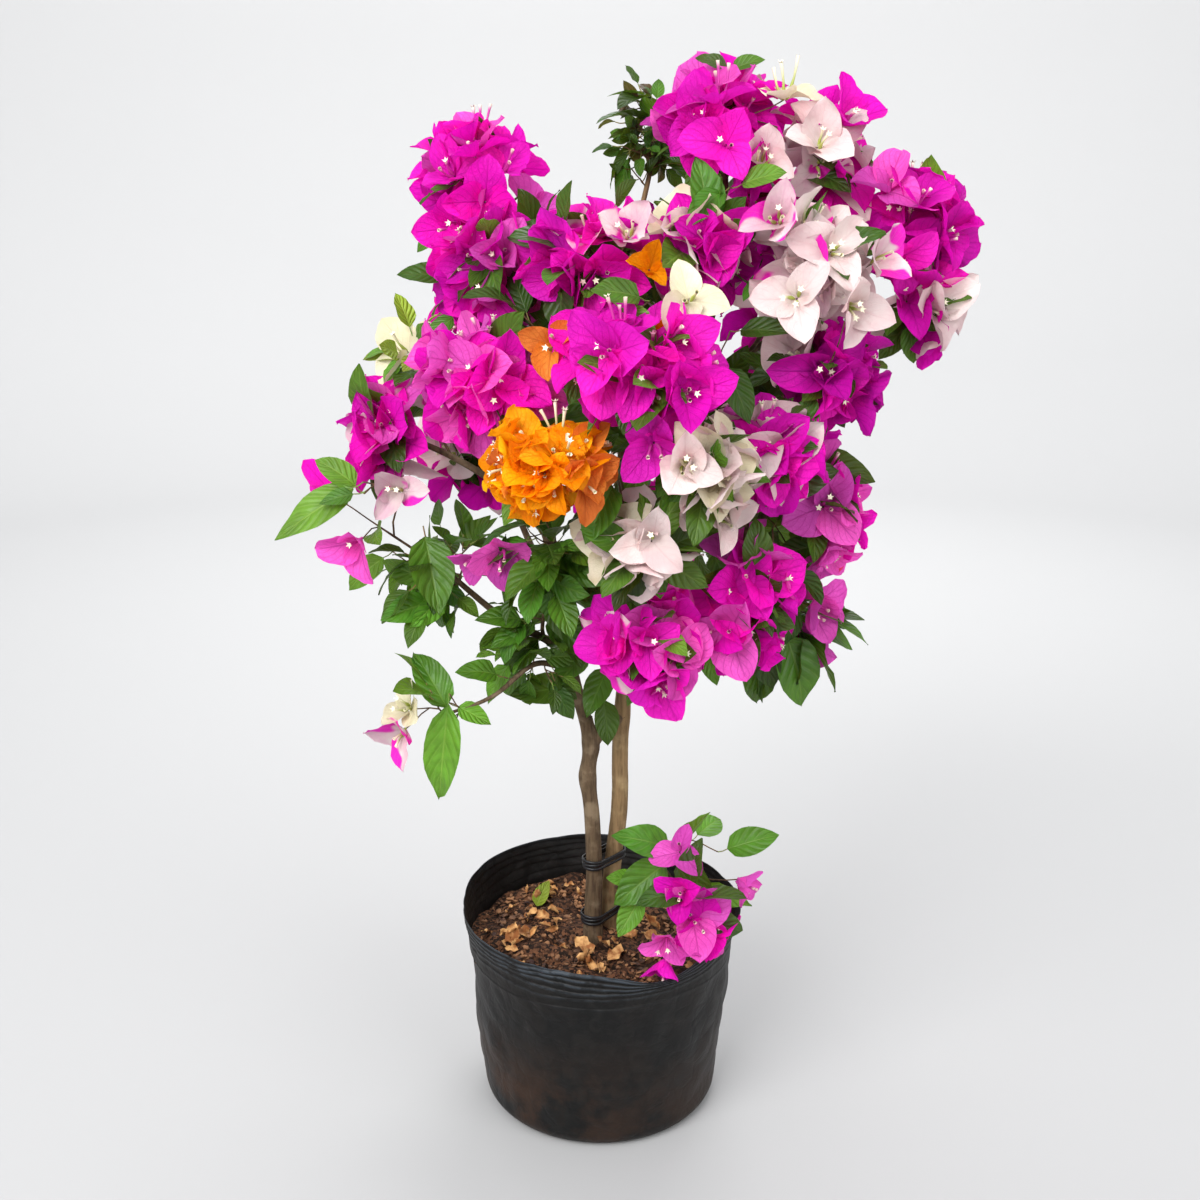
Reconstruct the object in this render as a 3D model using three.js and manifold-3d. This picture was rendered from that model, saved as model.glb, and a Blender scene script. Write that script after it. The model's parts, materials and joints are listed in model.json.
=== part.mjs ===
// Bougainvillea bush in a black film grow bag: the bag, its soil, two tied stems, the boughs
// that leave them, and the leafy and flowering masses that make up the crown.
// Millimetres, +Z up, -Y is the front. The origin is the centre of the bag's flat underside.
import * as THREE from 'three';
import { mergeVertices } from 'three/addons/utils/BufferGeometryUtils.js';
import Module from 'manifold-3d';

const wasm = await Module();
wasm.setup();

// Driving dimensions
const BAG_HEIGHT = 206;
const BAG_FOOT_RADIUS = 101;
const BAG_HEEL_RADIUS = 118;
const BAG_HEEL_HEIGHT = 18;
const BAG_WAIST_RADIUS = 122;
const BAG_WAIST_HEIGHT = 62;
const BAG_BELLY_RADIUS = 128;
const BAG_BELLY_HEIGHT = 130;
const BAG_NECK_RADIUS = 132.5;
const BAG_MOUTH_RADIUS = 139;
const BAG_WALL = 3;
const BAG_SIDES = 28;
const RIM_WAVE_START = 172;
const RIM_TILT = 5;
const RIM_TILT_ANGLE = 2.6;
const RIM_DIP_DEPTH = 11;
const RIM_DIP_ANGLE = -1.13;
const RIM_DIP_WIDTH = 0.32;
const SOIL_TOP = 168;
const SOIL_FLAT_RADIUS = 55;
const SOIL_LUMP = 2.5;
const GAP = 0.35;
const LIMB_SIDES = 6;
const STEM_SIDES = 9;
const LIMB_STEP = 34;
const STEM_STEP = 21;
const FLARE_LENGTH = 16;
const KNOT_LENGTH = 12;
const MASS_DETAIL = 3;
const MASS_FULLNESS = 1.07;
const MASS_LOBES = 7;
const MASS_NEAR = 1.22;
const TIE_HEIGHT = 9;
const TIE_WALL = 2;
const TIE_CLEARANCE = 0.8;

// Finishes: colour, roughness, metalness
const FINISH = {
  film: [0x17181b, 0.5, 0],
  soil: [0x3a2a20, 0.95, 0],
  greyBark: [0x65513f, 0.9, 0],
  tanBark: [0x8c7355, 0.85, 0],
  tie: [0x101012, 0.6, 0],
  leaf: [0x4a7a2b, 0.55, 0],
  magenta: [0xe410c4, 0.6, 0],
  blush: [0xeed9dd, 0.6, 0],
  amber: [0xf39a1c, 0.6, 0],
};

function finish(name) {
  const [color, roughness, metalness] = FINISH[name];
  return new THREE.MeshStandardMaterial({ color, roughness, metalness });
}

// A small repeatable random source, 0 to 1
function randomFrom(seed) {
  let state = seed * 2654435761 % 4294967296;
  return () => {
    state = (state * 1664525 + 1013904223) % 4294967296;
    return state / 4294967296;
  };
}

// Geometry to manifold solid, and back
function solidOf(geometry) {
  geometry.deleteAttribute('normal');
  geometry.deleteAttribute('uv');
  const merged = mergeVertices(geometry, 1e-3);
  const vertProperties = new Float32Array(merged.attributes.position.array);
  const triVerts = new Uint32Array(dropFlatTriangles(merged.index.array));
  return new wasm.Manifold(new wasm.Mesh({ numProp: 3, vertProperties, triVerts }));
}

// Triangles with two corners alike, as at a pole of a turned shape, are left out
function dropFlatTriangles(index) {
  const kept = [];
  for (let i = 0; i < index.length; i += 3) {
    const [a, b, c] = [index[i], index[i + 1], index[i + 2]];
    if (a !== b && b !== c && c !== a) kept.push(a, b, c);
  }
  return kept;
}

function geometryOf(solid) {
  const mesh = solid.getMesh();
  const geometry = new THREE.BufferGeometry();
  geometry.setAttribute('position', new THREE.BufferAttribute(new Float32Array(mesh.vertProperties), 3));
  geometry.setIndex(new THREE.BufferAttribute(new Uint32Array(mesh.triVerts), 1));
  return geometry;
}

// Of the separate bodies that a cut leaves, the one that comes nearest to a point
function bodyNearest(solid, point) {
  let nearest = null;
  let least = Infinity;
  for (const body of solid.decompose()) {
    const vertices = body.getMesh().vertProperties;
    let distance = Infinity;
    for (let i = 0; i < vertices.length; i += 3) {
      const step = Math.hypot(vertices[i] - point[0], vertices[i + 1] - point[1], vertices[i + 2] - point[2]);
      distance = Math.min(distance, step);
    }
    if (distance < least && body.volume() > 1) {
      least = distance;
      nearest = body;
    }
  }
  return nearest;
}

function biggestBody(solid) {
  return solid.decompose().reduce((best, body) => (body.volume() > best.volume() ? body : best));
}

// Bag: a turned film wall whose mouth is wavy, lower at the front right where it folds over
const HEEL_STEPS = 3;
const WALL_NODES = [
  [BAG_WAIST_RADIUS, BAG_WAIST_HEIGHT],
  [BAG_BELLY_RADIUS, BAG_BELLY_HEIGHT],
  [BAG_NECK_RADIUS, RIM_WAVE_START],
  [BAG_MOUTH_RADIUS, BAG_HEIGHT],
];

function bagProfile(inset, top) {
  const points = [];
  for (let i = 0; i <= HEEL_STEPS; i++) {
    const turn = (i / HEEL_STEPS) * Math.PI / 2;
    const reach = (BAG_HEEL_RADIUS - BAG_FOOT_RADIUS) * Math.sin(turn);
    const rise = BAG_HEEL_HEIGHT * (1 - Math.cos(turn));
    points.push(new THREE.Vector2(BAG_FOOT_RADIUS + reach - inset, Math.max(rise, inset)));
  }
  for (const [radius, height] of WALL_NODES) {
    const below = points[points.length - 1];
    const node = new THREE.Vector2(radius - inset, height);
    points.push(height <= top ? node : below.clone().lerp(node, (top - below.y) / (height - below.y)));
    if (height >= top) break;
  }
  return points;
}

// How far the rim rises or dips at an angle seen from above, and how far it leans out
function rimWave(angle) {
  const dip = Math.exp(-(((angle - RIM_DIP_ANGLE) / RIM_DIP_WIDTH) ** 2));
  const lift = RIM_TILT * Math.cos(angle - RIM_TILT_ANGLE) - RIM_DIP_DEPTH * dip;
  const lean = 1.8 * Math.cos(3 * angle + 0.6) + 1.2 * Math.cos(5 * angle) + 2 * dip;
  return { lift, lean };
}

function waveMouth(geometry) {
  const position = geometry.attributes.position;
  for (let i = 0; i < position.count; i++) {
    const [x, y, z] = [position.getX(i), position.getY(i), position.getZ(i)];
    const weight = Math.max(0, (z - RIM_WAVE_START) / (BAG_HEIGHT - RIM_WAVE_START)) ** 1.5;
    const { lift, lean } = rimWave(Math.atan2(y, x));
    const grow = 1 + weight * lean / Math.hypot(x, y);
    if (weight > 0) position.setXYZ(i, x * grow, y * grow, z + weight * lift);
  }
  return geometry;
}

function growBag() {
  const outer = bagProfile(0, BAG_HEIGHT);
  const inner = bagProfile(BAG_WALL, BAG_HEIGHT).reverse();
  const profile = [new THREE.Vector2(0, 0), ...outer, ...inner, new THREE.Vector2(0, BAG_WALL)];
  const geometry = new THREE.LatheGeometry(profile, BAG_SIDES).rotateX(Math.PI / 2);
  return solidOf(waveMouth(geometry));
}

// Soil: a plug that fills the bag, flat round the stems and lumpy towards the wall
function soil() {
  const side = bagProfile(BAG_WALL + 2 * GAP, SOIL_TOP - 2);
  const edge = side[side.length - 1].x;
  const profile = [
    new THREE.Vector2(0, BAG_WALL + 2 * GAP),
    ...side,
    new THREE.Vector2((edge + SOIL_FLAT_RADIUS) / 2, SOIL_TOP),
    new THREE.Vector2(SOIL_FLAT_RADIUS, SOIL_TOP),
    new THREE.Vector2(0, SOIL_TOP),
  ];
  const geometry = new THREE.LatheGeometry(profile, BAG_SIDES).rotateX(Math.PI / 2);
  const position = geometry.attributes.position;
  for (let i = 0; i < position.count; i++) {
    const [x, y, z] = [position.getX(i), position.getY(i), position.getZ(i)];
    const radius = Math.hypot(x, y);
    const isLumpy = z > SOIL_TOP - 1 && radius > SOIL_FLAT_RADIUS + 1 && radius < edge - 1;
    const angle = Math.atan2(y, x);
    if (isLumpy) position.setZ(i, z + SOIL_LUMP * (Math.cos(3 * angle + 1) + Math.cos(7 * angle)) / 2 - 1);
  }
  return solidOf(geometry);
}

// A limb is a turned spindle bent along a curve: radius falls from root to tip, with an
// optional flare at the root and swellings (place along the limb 0 to 1, extra radius).
function limb({ path, root, tip, sides = LIMB_SIDES, step = LIMB_STEP, flare = 0, knots = [] }, grow = 0) {
  const curve = new THREE.CatmullRomCurve3(path.map((p) => new THREE.Vector3(...p)), false, 'centripetal');
  const length = curve.getLength();
  const rings = Math.max(3, Math.round(length / step));
  const profile = [new THREE.Vector2(0, 0)];
  for (let i = 0; i <= rings; i++) {
    const s = i / rings;
    let radius = root + (tip - root) * s + flare * Math.exp(-s * length / FLARE_LENGTH) + grow;
    for (const [place, extra] of knots) {
      radius += extra * Math.exp(-(((s - place) * length / KNOT_LENGTH) ** 2));
    }
    profile.push(new THREE.Vector2(radius, s * length));
  }
  profile.push(new THREE.Vector2(0, length));
  const geometry = new THREE.LatheGeometry(profile, sides);
  const frames = curve.computeFrenetFrames(rings);
  const position = geometry.attributes.position;
  for (let i = 0; i < position.count; i++) {
    const ring = Math.round(position.getY(i) / length * rings);
    const place = curve.getPointAt(ring / rings);
    place.addScaledVector(frames.normals[ring], position.getX(i));
    place.addScaledVector(frames.binormals[ring], -position.getZ(i));
    position.setXYZ(i, place.x, place.y, place.z);
  }
  return solidOf(geometry);
}

// Everything below a level, to cut a stem's foot flat
function blockBelow(level) {
  const size = 200;
  return solidOf(new THREE.BoxGeometry(size, size, size).translate(0, 0, level - size / 2));
}

const STEMS = {
  stem_left: {
    root: 8.4, tip: 6.4, flare: 4, sides: STEM_SIDES, step: STEM_STEP,
    knots: [[0.7, 1.6], [0.86, 1.6]],
    path: [
      [-7, -8, 155], [-7, -8, 185], [-6, -7, 250], [-8, -5, 300],
      [-12, -5, 341], [-9, -5, 372], [-14, -8, 402],
    ],
  },
  stem_right: {
    finish: 'tanBark', root: 8.6, tip: 7, flare: 3.5, sides: STEM_SIDES, step: STEM_STEP,
    knots: [[0.72, 0.8]],
    path: [
      [9, 15, 155], [9, 15, 185], [13, 15, 240], [19, 15, 295],
      [20, 15, 380], [24, 14, 430], [26, 12, 482],
    ],
  },
};

// Boughs: each starts inside the limb it leaves, and is cut where it meets that limb and the
// first mass it enters.
const BOUGHS = {
  fork_arm: { root: 6, tip: 6.5, path: [[-10, -5, 374], [2, 2, 383], [11, 9, 390], [21, 14, 396]] },
  bough_left: {
    root: 5.2, tip: 3,
    path: [[-13, -8, 397], [-24, -22, 432], [-42, -44, 486], [-84, -60, 515], [-135, -62, 560]],
  },
  bough_low_left: {
    root: 3.4, tip: 2.4,
    path: [[-34, -34, 462], [-60, -62, 474], [-96, -86, 452], [-137, -100, 440]],
  },
  bough_centre_left: {
    root: 6, tip: 3.8,
    path: [[-14, -8, 398], [-26, -10, 450], [-34, -16, 520], [-52, -34, 600], [-84, -110, 720]],
  },
  bough_arm_left: {
    root: 4, tip: 3,
    path: [[-48, -30, 588], [-84, -34, 628], [-130, -42, 660], [-182, -50, 685]],
  },
  bough_shoulder: {
    root: 4.6, tip: 3.4,
    path: [[-42, -22, 555], [-52, 8, 640], [-70, 0, 720], [-85, -30, 820]],
  },
  leader: {
    finish: 'tanBark', root: 6.8, tip: 4.8,
    path: [[25, 12, 478], [18, 16, 540], [20, 12, 640], [30, 14, 720], [28, 24, 820]],
  },
  bough_head: {
    root: 5, tip: 3.8,
    path: [[20, 12, 600], [52, 2, 670], [92, -14, 760], [106, -20, 840], [105, -30, 920]],
  },
  bough_head_right: {
    root: 4, tip: 3,
    path: [[66, -3, 700], [120, -20, 742], [196, -26, 790], [268, -24, 850]],
  },
  bough_right: { root: 5, tip: 3.2, path: [[25, 12, 470], [60, 4, 530], [110, -18, 585], [198, -70, 630]] },
  bough_front: {
    root: 4.4, tip: 3,
    path: [[19, 14, 575], [26, -40, 612], [28, -100, 655], [25, -195, 740]],
  },
  bough_front_low: {
    root: 4.2, tip: 3,
    path: [[24, 14, 436], [40, -30, 468], [66, -80, 505], [110, -140, 560]],
  },
  bough_back: { root: 4.4, tip: 3.2, path: [[19, 15, 540], [30, 60, 590], [36, 110, 640], [40, 160, 700]] },
  bough_back_left: {
    root: 4, tip: 3,
    path: [[-30, -12, 485], [-56, 24, 540], [-86, 60, 600], [-115, 90, 655]],
  },
  bough_back_right: {
    root: 4, tip: 3,
    path: [[20, 12, 640], [74, 34, 664], [120, 50, 684], [170, 60, 700]],
  },
  bough_low: { root: 3.2, tip: 2.6, path: [[11, 14, 210], [28, 0, 226], [48, -20, 248], [80, -44, 272]] },
};

// Masses of the crown: centre and half sizes in X, Y and Z
const MASSES = {
  spike_left: ['magenta', [-100, 0, 896], [48, 42, 50]],
  shoulder_left: ['magenta', [-85, -60, 826], [54, 52, 50]],
  brow_left: ['magenta', [-5, -120, 832], [48, 50, 46]],
  brow_right: ['blush', [84, -100, 842], [46, 50, 42]],
  head_top: ['magenta', [105, -30, 925], [56, 50, 58]],
  head_crest: ['blush', [180, -25, 906], [48, 48, 52]],
  head_right: ['magenta', [266, -20, 852], [50, 48, 50]],
  tail_right: ['blush', [262, -50, 790], [48, 42, 36]],
  blush_right: ['blush', [160, -120, 824], [52, 46, 46]],
  cheek_left: ['magenta', [-86, -150, 738], [56, 50, 48]],
  arm_left_top: ['leaf', [-166, -20, 744], [32, 36, 28]],
  arm_left: ['magenta', [-178, -50, 685], [42, 46, 44]],
  tip_left: ['leaf', [-228, -78, 620], [50, 40, 36]],
  amber_front: ['amber', [-35, -205, 682], [60, 46, 42]],
  front_bloom: ['magenta', [28, -205, 756], [64, 48, 46]],
  blush_front: ['blush', [72, -200, 678], [44, 44, 40]],
  right_mid: ['magenta', [180, -112, 742], [50, 48, 42]],
  right_flank: ['magenta', [135, -145, 682], [48, 46, 40]],
  right_low: ['magenta', [188, -80, 620], [40, 46, 54]],
  lower_right: ['magenta', [118, -142, 558], [50, 48, 66]],
  skirt_right: ['leaf', [174, -50, 512], [42, 44, 54]],
  lower_front: ['magenta', [42, -160, 530], [54, 50, 58]],
  blush_low: ['blush', [34, -190, 616], [42, 38, 34]],
  leaf_front: ['leaf', [-40, -120, 590], [44, 46, 52]],
  leaf_left: ['leaf', [-137, -62, 566], [54, 48, 54]],
  leaf_under: ['leaf', [-62, -62, 490], [62, 42, 54]],
  spray_left: ['leaf', [-140, -100, 418], [46, 34, 68]],
  top_shoot: ['leaf', [46, 40, 930], [40, 36, 56]],
  crest_back: ['leaf', [25, 30, 820], [66, 58, 50]],
  back_head: ['magenta', [130, 78, 850], [72, 62, 66]],
  back_upper_left: ['leaf', [-75, 112, 780], [80, 66, 78]],
  back_mid: ['magenta', [40, 168, 700], [84, 58, 84]],
  back_right: ['leaf', [166, 64, 710], [66, 68, 88]],
  back_left: ['magenta', [-113, 90, 656], [66, 66, 72]],
  back_low: ['leaf', [45, 132, 545], [78, 62, 72]],
  low_leaves: ['leaf', [80, -44, 272], [66, 46, 40]],
  low_blooms: ['magenta', [86, -88, 232], [44, 36, 50]],
};

// A mass is a ball pushed in and out by seeded lobes, then fitted to its half sizes
function lobedBall(radii, seed) {
  const random = randomFrom(seed);
  const lobes = Array.from({ length: MASS_LOBES }, () => {
    const toward = new THREE.Vector3(random() * 2 - 1, random() * 2 - 1, random() * 2 - 1).normalize();
    return { toward, height: 0.1 + 0.3 * random(), width: 0.35 + 0.3 * random() };
  });
  const geometry = new THREE.OctahedronGeometry(1, MASS_DETAIL);
  const position = geometry.attributes.position;
  const out = new THREE.Vector3();
  for (let i = 0; i < position.count; i++) {
    out.fromBufferAttribute(position, i);
    let swell = 1;
    for (const { toward, height, width } of lobes) {
      swell += height * Math.exp(-((out.angleTo(toward) / width) ** 2));
    }
    position.setXYZ(i, out.x * swell, out.y * swell, out.z * swell);
  }
  geometry.computeBoundingBox();
  const middle = geometry.boundingBox.getCenter(new THREE.Vector3());
  const size = geometry.boundingBox.getSize(new THREE.Vector3());
  geometry.translate(-middle.x, -middle.y, -middle.z);
  return geometry.scale(2 * radii[0] / size.x, 2 * radii[1] / size.y, 2 * radii[2] / size.z);
}

// Distance from a mass's centre to its ellipsoid along a unit direction
function reach(radii, direction) {
  return 1 / Math.hypot(direction.x / radii[0], direction.y / radii[1], direction.z / radii[2]);
}

// A block that fills the far side of a plane, to part two neighbouring masses
function blockBeyond(point, direction) {
  const size = 500;
  const turn = new THREE.Quaternion().setFromUnitVectors(new THREE.Vector3(0, 0, 1), direction);
  const block = new THREE.BoxGeometry(size, size, size).translate(0, 0, size / 2);
  return solidOf(block.applyQuaternion(turn).translate(point.x, point.y, point.z));
}

function partedMasses(bag) {
  const solids = {};
  Object.entries(MASSES).forEach(([name, [, centre, radii]], index) => {
    const full = radii.map((radius) => radius * MASS_FULLNESS);
    let solid = solidOf(lobedBall(full, index + 3).translate(...centre));
    const here = new THREE.Vector3(...centre);
    for (const [other, [, otherCentre, otherRadii]] of Object.entries(MASSES)) {
      if (other === name) continue;
      const direction = new THREE.Vector3(...otherCentre).sub(here);
      const distance = direction.length();
      direction.normalize();
      const mine = reach(radii, direction);
      const theirs = reach(otherRadii, direction);
      if (distance > MASS_NEAR * (mine + theirs)) continue;
      const place = distance * mine / (mine + theirs) - GAP / 2;
      solid = solid.subtract(blockBeyond(here.clone().addScaledVector(direction, place), direction));
    }
    solids[name] = biggestBody(solid.subtract(bag));
  });
  return solids;
}

// A mass grown a little about its centre, so that cutting it away leaves a gap
function grownMass(solid, [x, y, z], radii) {
  const scale = 1 + 2.5 * GAP / Math.min(...radii);
  const geometry = geometryOf(solid).translate(-x, -y, -z).scale(scale, scale, scale).translate(x, y, z);
  return solidOf(geometry);
}

function cutLimbs(masses) {
  const ground = blockBelow(SOIL_TOP + GAP);
  const solids = {};
  const cutters = [];
  for (const [name, stem] of Object.entries(STEMS)) {
    solids[name] = limb(stem).subtract(ground);
    cutters.push(limb(stem, GAP));
  }
  const grown = Object.entries(MASSES)
    .map(([name, [, centre, radii]]) => grownMass(masses[name], centre, radii));
  for (const [name, bough] of Object.entries(BOUGHS)) {
    let solid = limb(bough);
    for (const cutter of [...cutters, ...grown]) solid = solid.subtract(cutter);
    solids[name] = bodyNearest(solid, bough.path[0]);
    cutters.push(limb(bough, GAP));
  }
  return solids;
}

// Ties: a flat band round both stems, a straight-sided loop with round ends
function tie(level, left, right, radius) {
  const angle = Math.atan2(right[1] - left[1], right[0] - left[0]);
  const loop = (size, Kind) => {
    const outline = new Kind();
    outline.absarc(right[0], right[1], size, angle - Math.PI / 2, angle + Math.PI / 2, false);
    outline.absarc(left[0], left[1], size, angle + Math.PI / 2, angle + Math.PI * 1.5, false);
    outline.closePath();
    return outline;
  };
  const shape = loop(radius + TIE_CLEARANCE + TIE_WALL, THREE.Shape);
  shape.holes.push(loop(radius + TIE_CLEARANCE, THREE.Path));
  const settings = { depth: TIE_HEIGHT, bevelEnabled: false, curveSegments: 4 };
  const geometry = new THREE.ExtrudeGeometry(shape, settings);
  return solidOf(geometry.translate(0, 0, level - TIE_HEIGHT / 2));
}

const group = new THREE.Group();

function add(name, solid, finishName) {
  const mesh = new THREE.Mesh(geometryOf(solid), finish(finishName));
  mesh.name = name;
  group.add(mesh);
}

const bag = growBag();
const masses = partedMasses(bag);
const limbs = cutLimbs(masses);

add('grow_bag', bag, 'film');
add('soil', soil(), 'soil');
for (const [name, solid] of Object.entries(limbs)) {
  add(name, solid, (STEMS[name] || BOUGHS[name]).finish || 'greyBark');
}
add('tie_lower', tie(191, [-7, -8], [10, 15], 9.5), 'tie');
add('tie_upper', tie(250, [-6, -7], [14, 15], 8.8), 'tie');
for (const [name, solid] of Object.entries(masses)) add(name, solid, MASSES[name][0]);

export default group;
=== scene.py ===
import json
import math

import bpy
import numpy as np
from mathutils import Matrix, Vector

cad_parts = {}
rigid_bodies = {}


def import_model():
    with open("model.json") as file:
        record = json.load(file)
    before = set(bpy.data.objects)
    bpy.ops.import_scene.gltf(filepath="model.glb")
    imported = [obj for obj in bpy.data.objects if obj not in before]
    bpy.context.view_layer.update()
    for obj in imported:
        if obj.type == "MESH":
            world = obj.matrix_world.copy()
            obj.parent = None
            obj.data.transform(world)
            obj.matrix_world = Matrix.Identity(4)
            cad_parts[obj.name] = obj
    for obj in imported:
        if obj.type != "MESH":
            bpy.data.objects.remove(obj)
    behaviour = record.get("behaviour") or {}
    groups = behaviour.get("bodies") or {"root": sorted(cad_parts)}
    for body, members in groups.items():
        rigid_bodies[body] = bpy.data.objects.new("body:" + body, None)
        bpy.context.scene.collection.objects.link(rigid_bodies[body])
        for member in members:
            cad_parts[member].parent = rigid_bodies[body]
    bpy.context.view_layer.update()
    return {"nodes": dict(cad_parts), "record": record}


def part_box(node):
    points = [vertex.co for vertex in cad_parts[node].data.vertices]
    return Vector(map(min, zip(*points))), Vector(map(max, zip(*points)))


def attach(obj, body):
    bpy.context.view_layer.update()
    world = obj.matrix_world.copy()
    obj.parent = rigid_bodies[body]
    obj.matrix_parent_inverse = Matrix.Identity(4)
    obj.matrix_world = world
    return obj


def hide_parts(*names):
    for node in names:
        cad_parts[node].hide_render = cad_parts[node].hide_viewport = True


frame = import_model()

MM = 0.001
AROUND = 6.3  # a whole turn, as the reach of a chance phase
GOLDEN = 2.4  # the turn from one leaf to the next
UP = np.array([0, 0, 1.0])
LIGHT = np.array([0, -0.25, 0.75])  # where leaves look for light
ANY_SIDE = np.array([0.31, 0.22, 0.92])  # a start for directions square to a twig
SEEDS = {"masses": 100, "heart": 90, "chosen": 91, "side leaves": 92, "leaves": 11, "bracts": 12, "flowers": 13,
         "limbs": 40, "bag": 5, "soil": 8, "litter": 21}

# ---------------------------------------------------------------- the crown, mass by mass
# Each mass: clusters of bracts, sprays of leaves, share of bract colours, share of leaf tints.
MAGENTA = {"magenta": 5, "hot": 3, "orchid": 2}
ORCHID = {"orchid": 6, "magenta": 2, "hot": 1}
WHITE = {"blush": 6, "cream": 2}
AMBER = {"amber": 5, "gold": 3, "peach": 3}
MIXED = {"magenta": 4, "orchid": 2, "blush": 2, "purple": 1}
DARK = {"dark": 5, "mid": 3}
GREEN = {"dark": 2, "mid": 5, "fresh": 2}
FRESH = {"mid": 3, "fresh": 5, "young": 1}
YOUNG = {"young": 4, "fresh": 3}
MASSES = {
    "spike_left": (14, 3, MAGENTA, GREEN),
    "shoulder_left": (16, 4, MAGENTA, DARK),
    "brow_left": (15, 3, {"magenta": 4, "hot": 3, "bicolour": 2, "blush": 2}, GREEN),
    "brow_right": (14, 3, {"blush": 5, "magenta": 3, "cream": 2}, GREEN),
    "head_top": (17, 3, MAGENTA, DARK),
    "head_crest": (15, 2, {"blush": 4, "magenta": 4, "bicolour": 2}, DARK),
    "head_right": (17, 2, {"magenta": 6, "purple": 2}, DARK),
    "tail_right": (10, 2, {"blush": 2, "magenta": 4, "orchid": 1}, DARK),
    "blush_right": (20, 2, {"blush": 7, "bicolour": 4}, DARK),
    "cheek_left": (19, 2, ORCHID, DARK),
    "arm_left_top": (2, 5, {"cream": 1}, YOUNG),
    "arm_left": (13, 2, {"magenta": 4, "orchid": 3, "bicolour": 1}, FRESH),
    "tip_left": (1, 0, {"magenta": 1}, FRESH),
    "amber_front": (30, 0, AMBER, GREEN),
    "front_bloom": (16, 4, {"hot": 5, "magenta": 4, "amber": 1}, FRESH),
    "blush_front": (10, 4, WHITE, GREEN),
    "right_mid": (17, 2, {"purple": 3, "magenta": 4, "blush": 1}, DARK),
    "right_flank": (14, 3, {"magenta": 4, "orchid": 3, "blush": 1}, DARK),
    "right_low": (14, 3, {"orchid": 5, "magenta": 2, "coral": 1}, DARK),
    "lower_right": (14, 5, {"magenta": 6, "orchid": 1}, DARK),
    "skirt_right": (3, 8, {"orchid": 3, "magenta": 1}, DARK),
    "lower_front": (16, 4, {"magenta": 4, "hot": 3, "orchid": 3, "bicolour": 1}, DARK),
    "blush_low": (5, 4, WHITE, GREEN),
    "leaf_front": (0, 14, WHITE, GREEN),
    "leaf_left": (0, 18, WHITE, GREEN),
    "leaf_under": (0, 15, WHITE, GREEN),
    "spray_left": (0, 1, {"bicolour": 1}, FRESH),
    "top_shoot": (0, 38, WHITE, {"dark": 3, "mid": 2, "bronze": 1}),
    "crest_back": (12, 12, MIXED, DARK),
    "back_head": (20, 13, {"magenta": 5, "blush": 3, "orchid": 1}, DARK),
    "back_upper_left": (20, 15, {"magenta": 5, "orchid": 3}, DARK),
    "back_mid": (24, 15, {"orchid": 3, "magenta": 4, "blush": 3}, DARK),
    "back_right": (20, 14, {"magenta": 5, "purple": 3}, DARK),
    "back_left": (18, 13, {"magenta": 4, "blush": 2}, DARK),
    "back_low": (14, 15, {"magenta": 5, "orchid": 1}, DARK),
    "low_leaves": (0, 2, WHITE, FRESH),
    "low_blooms": (4, 1, {"magenta": 3, "orchid": 4}, GREEN),
}
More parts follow.
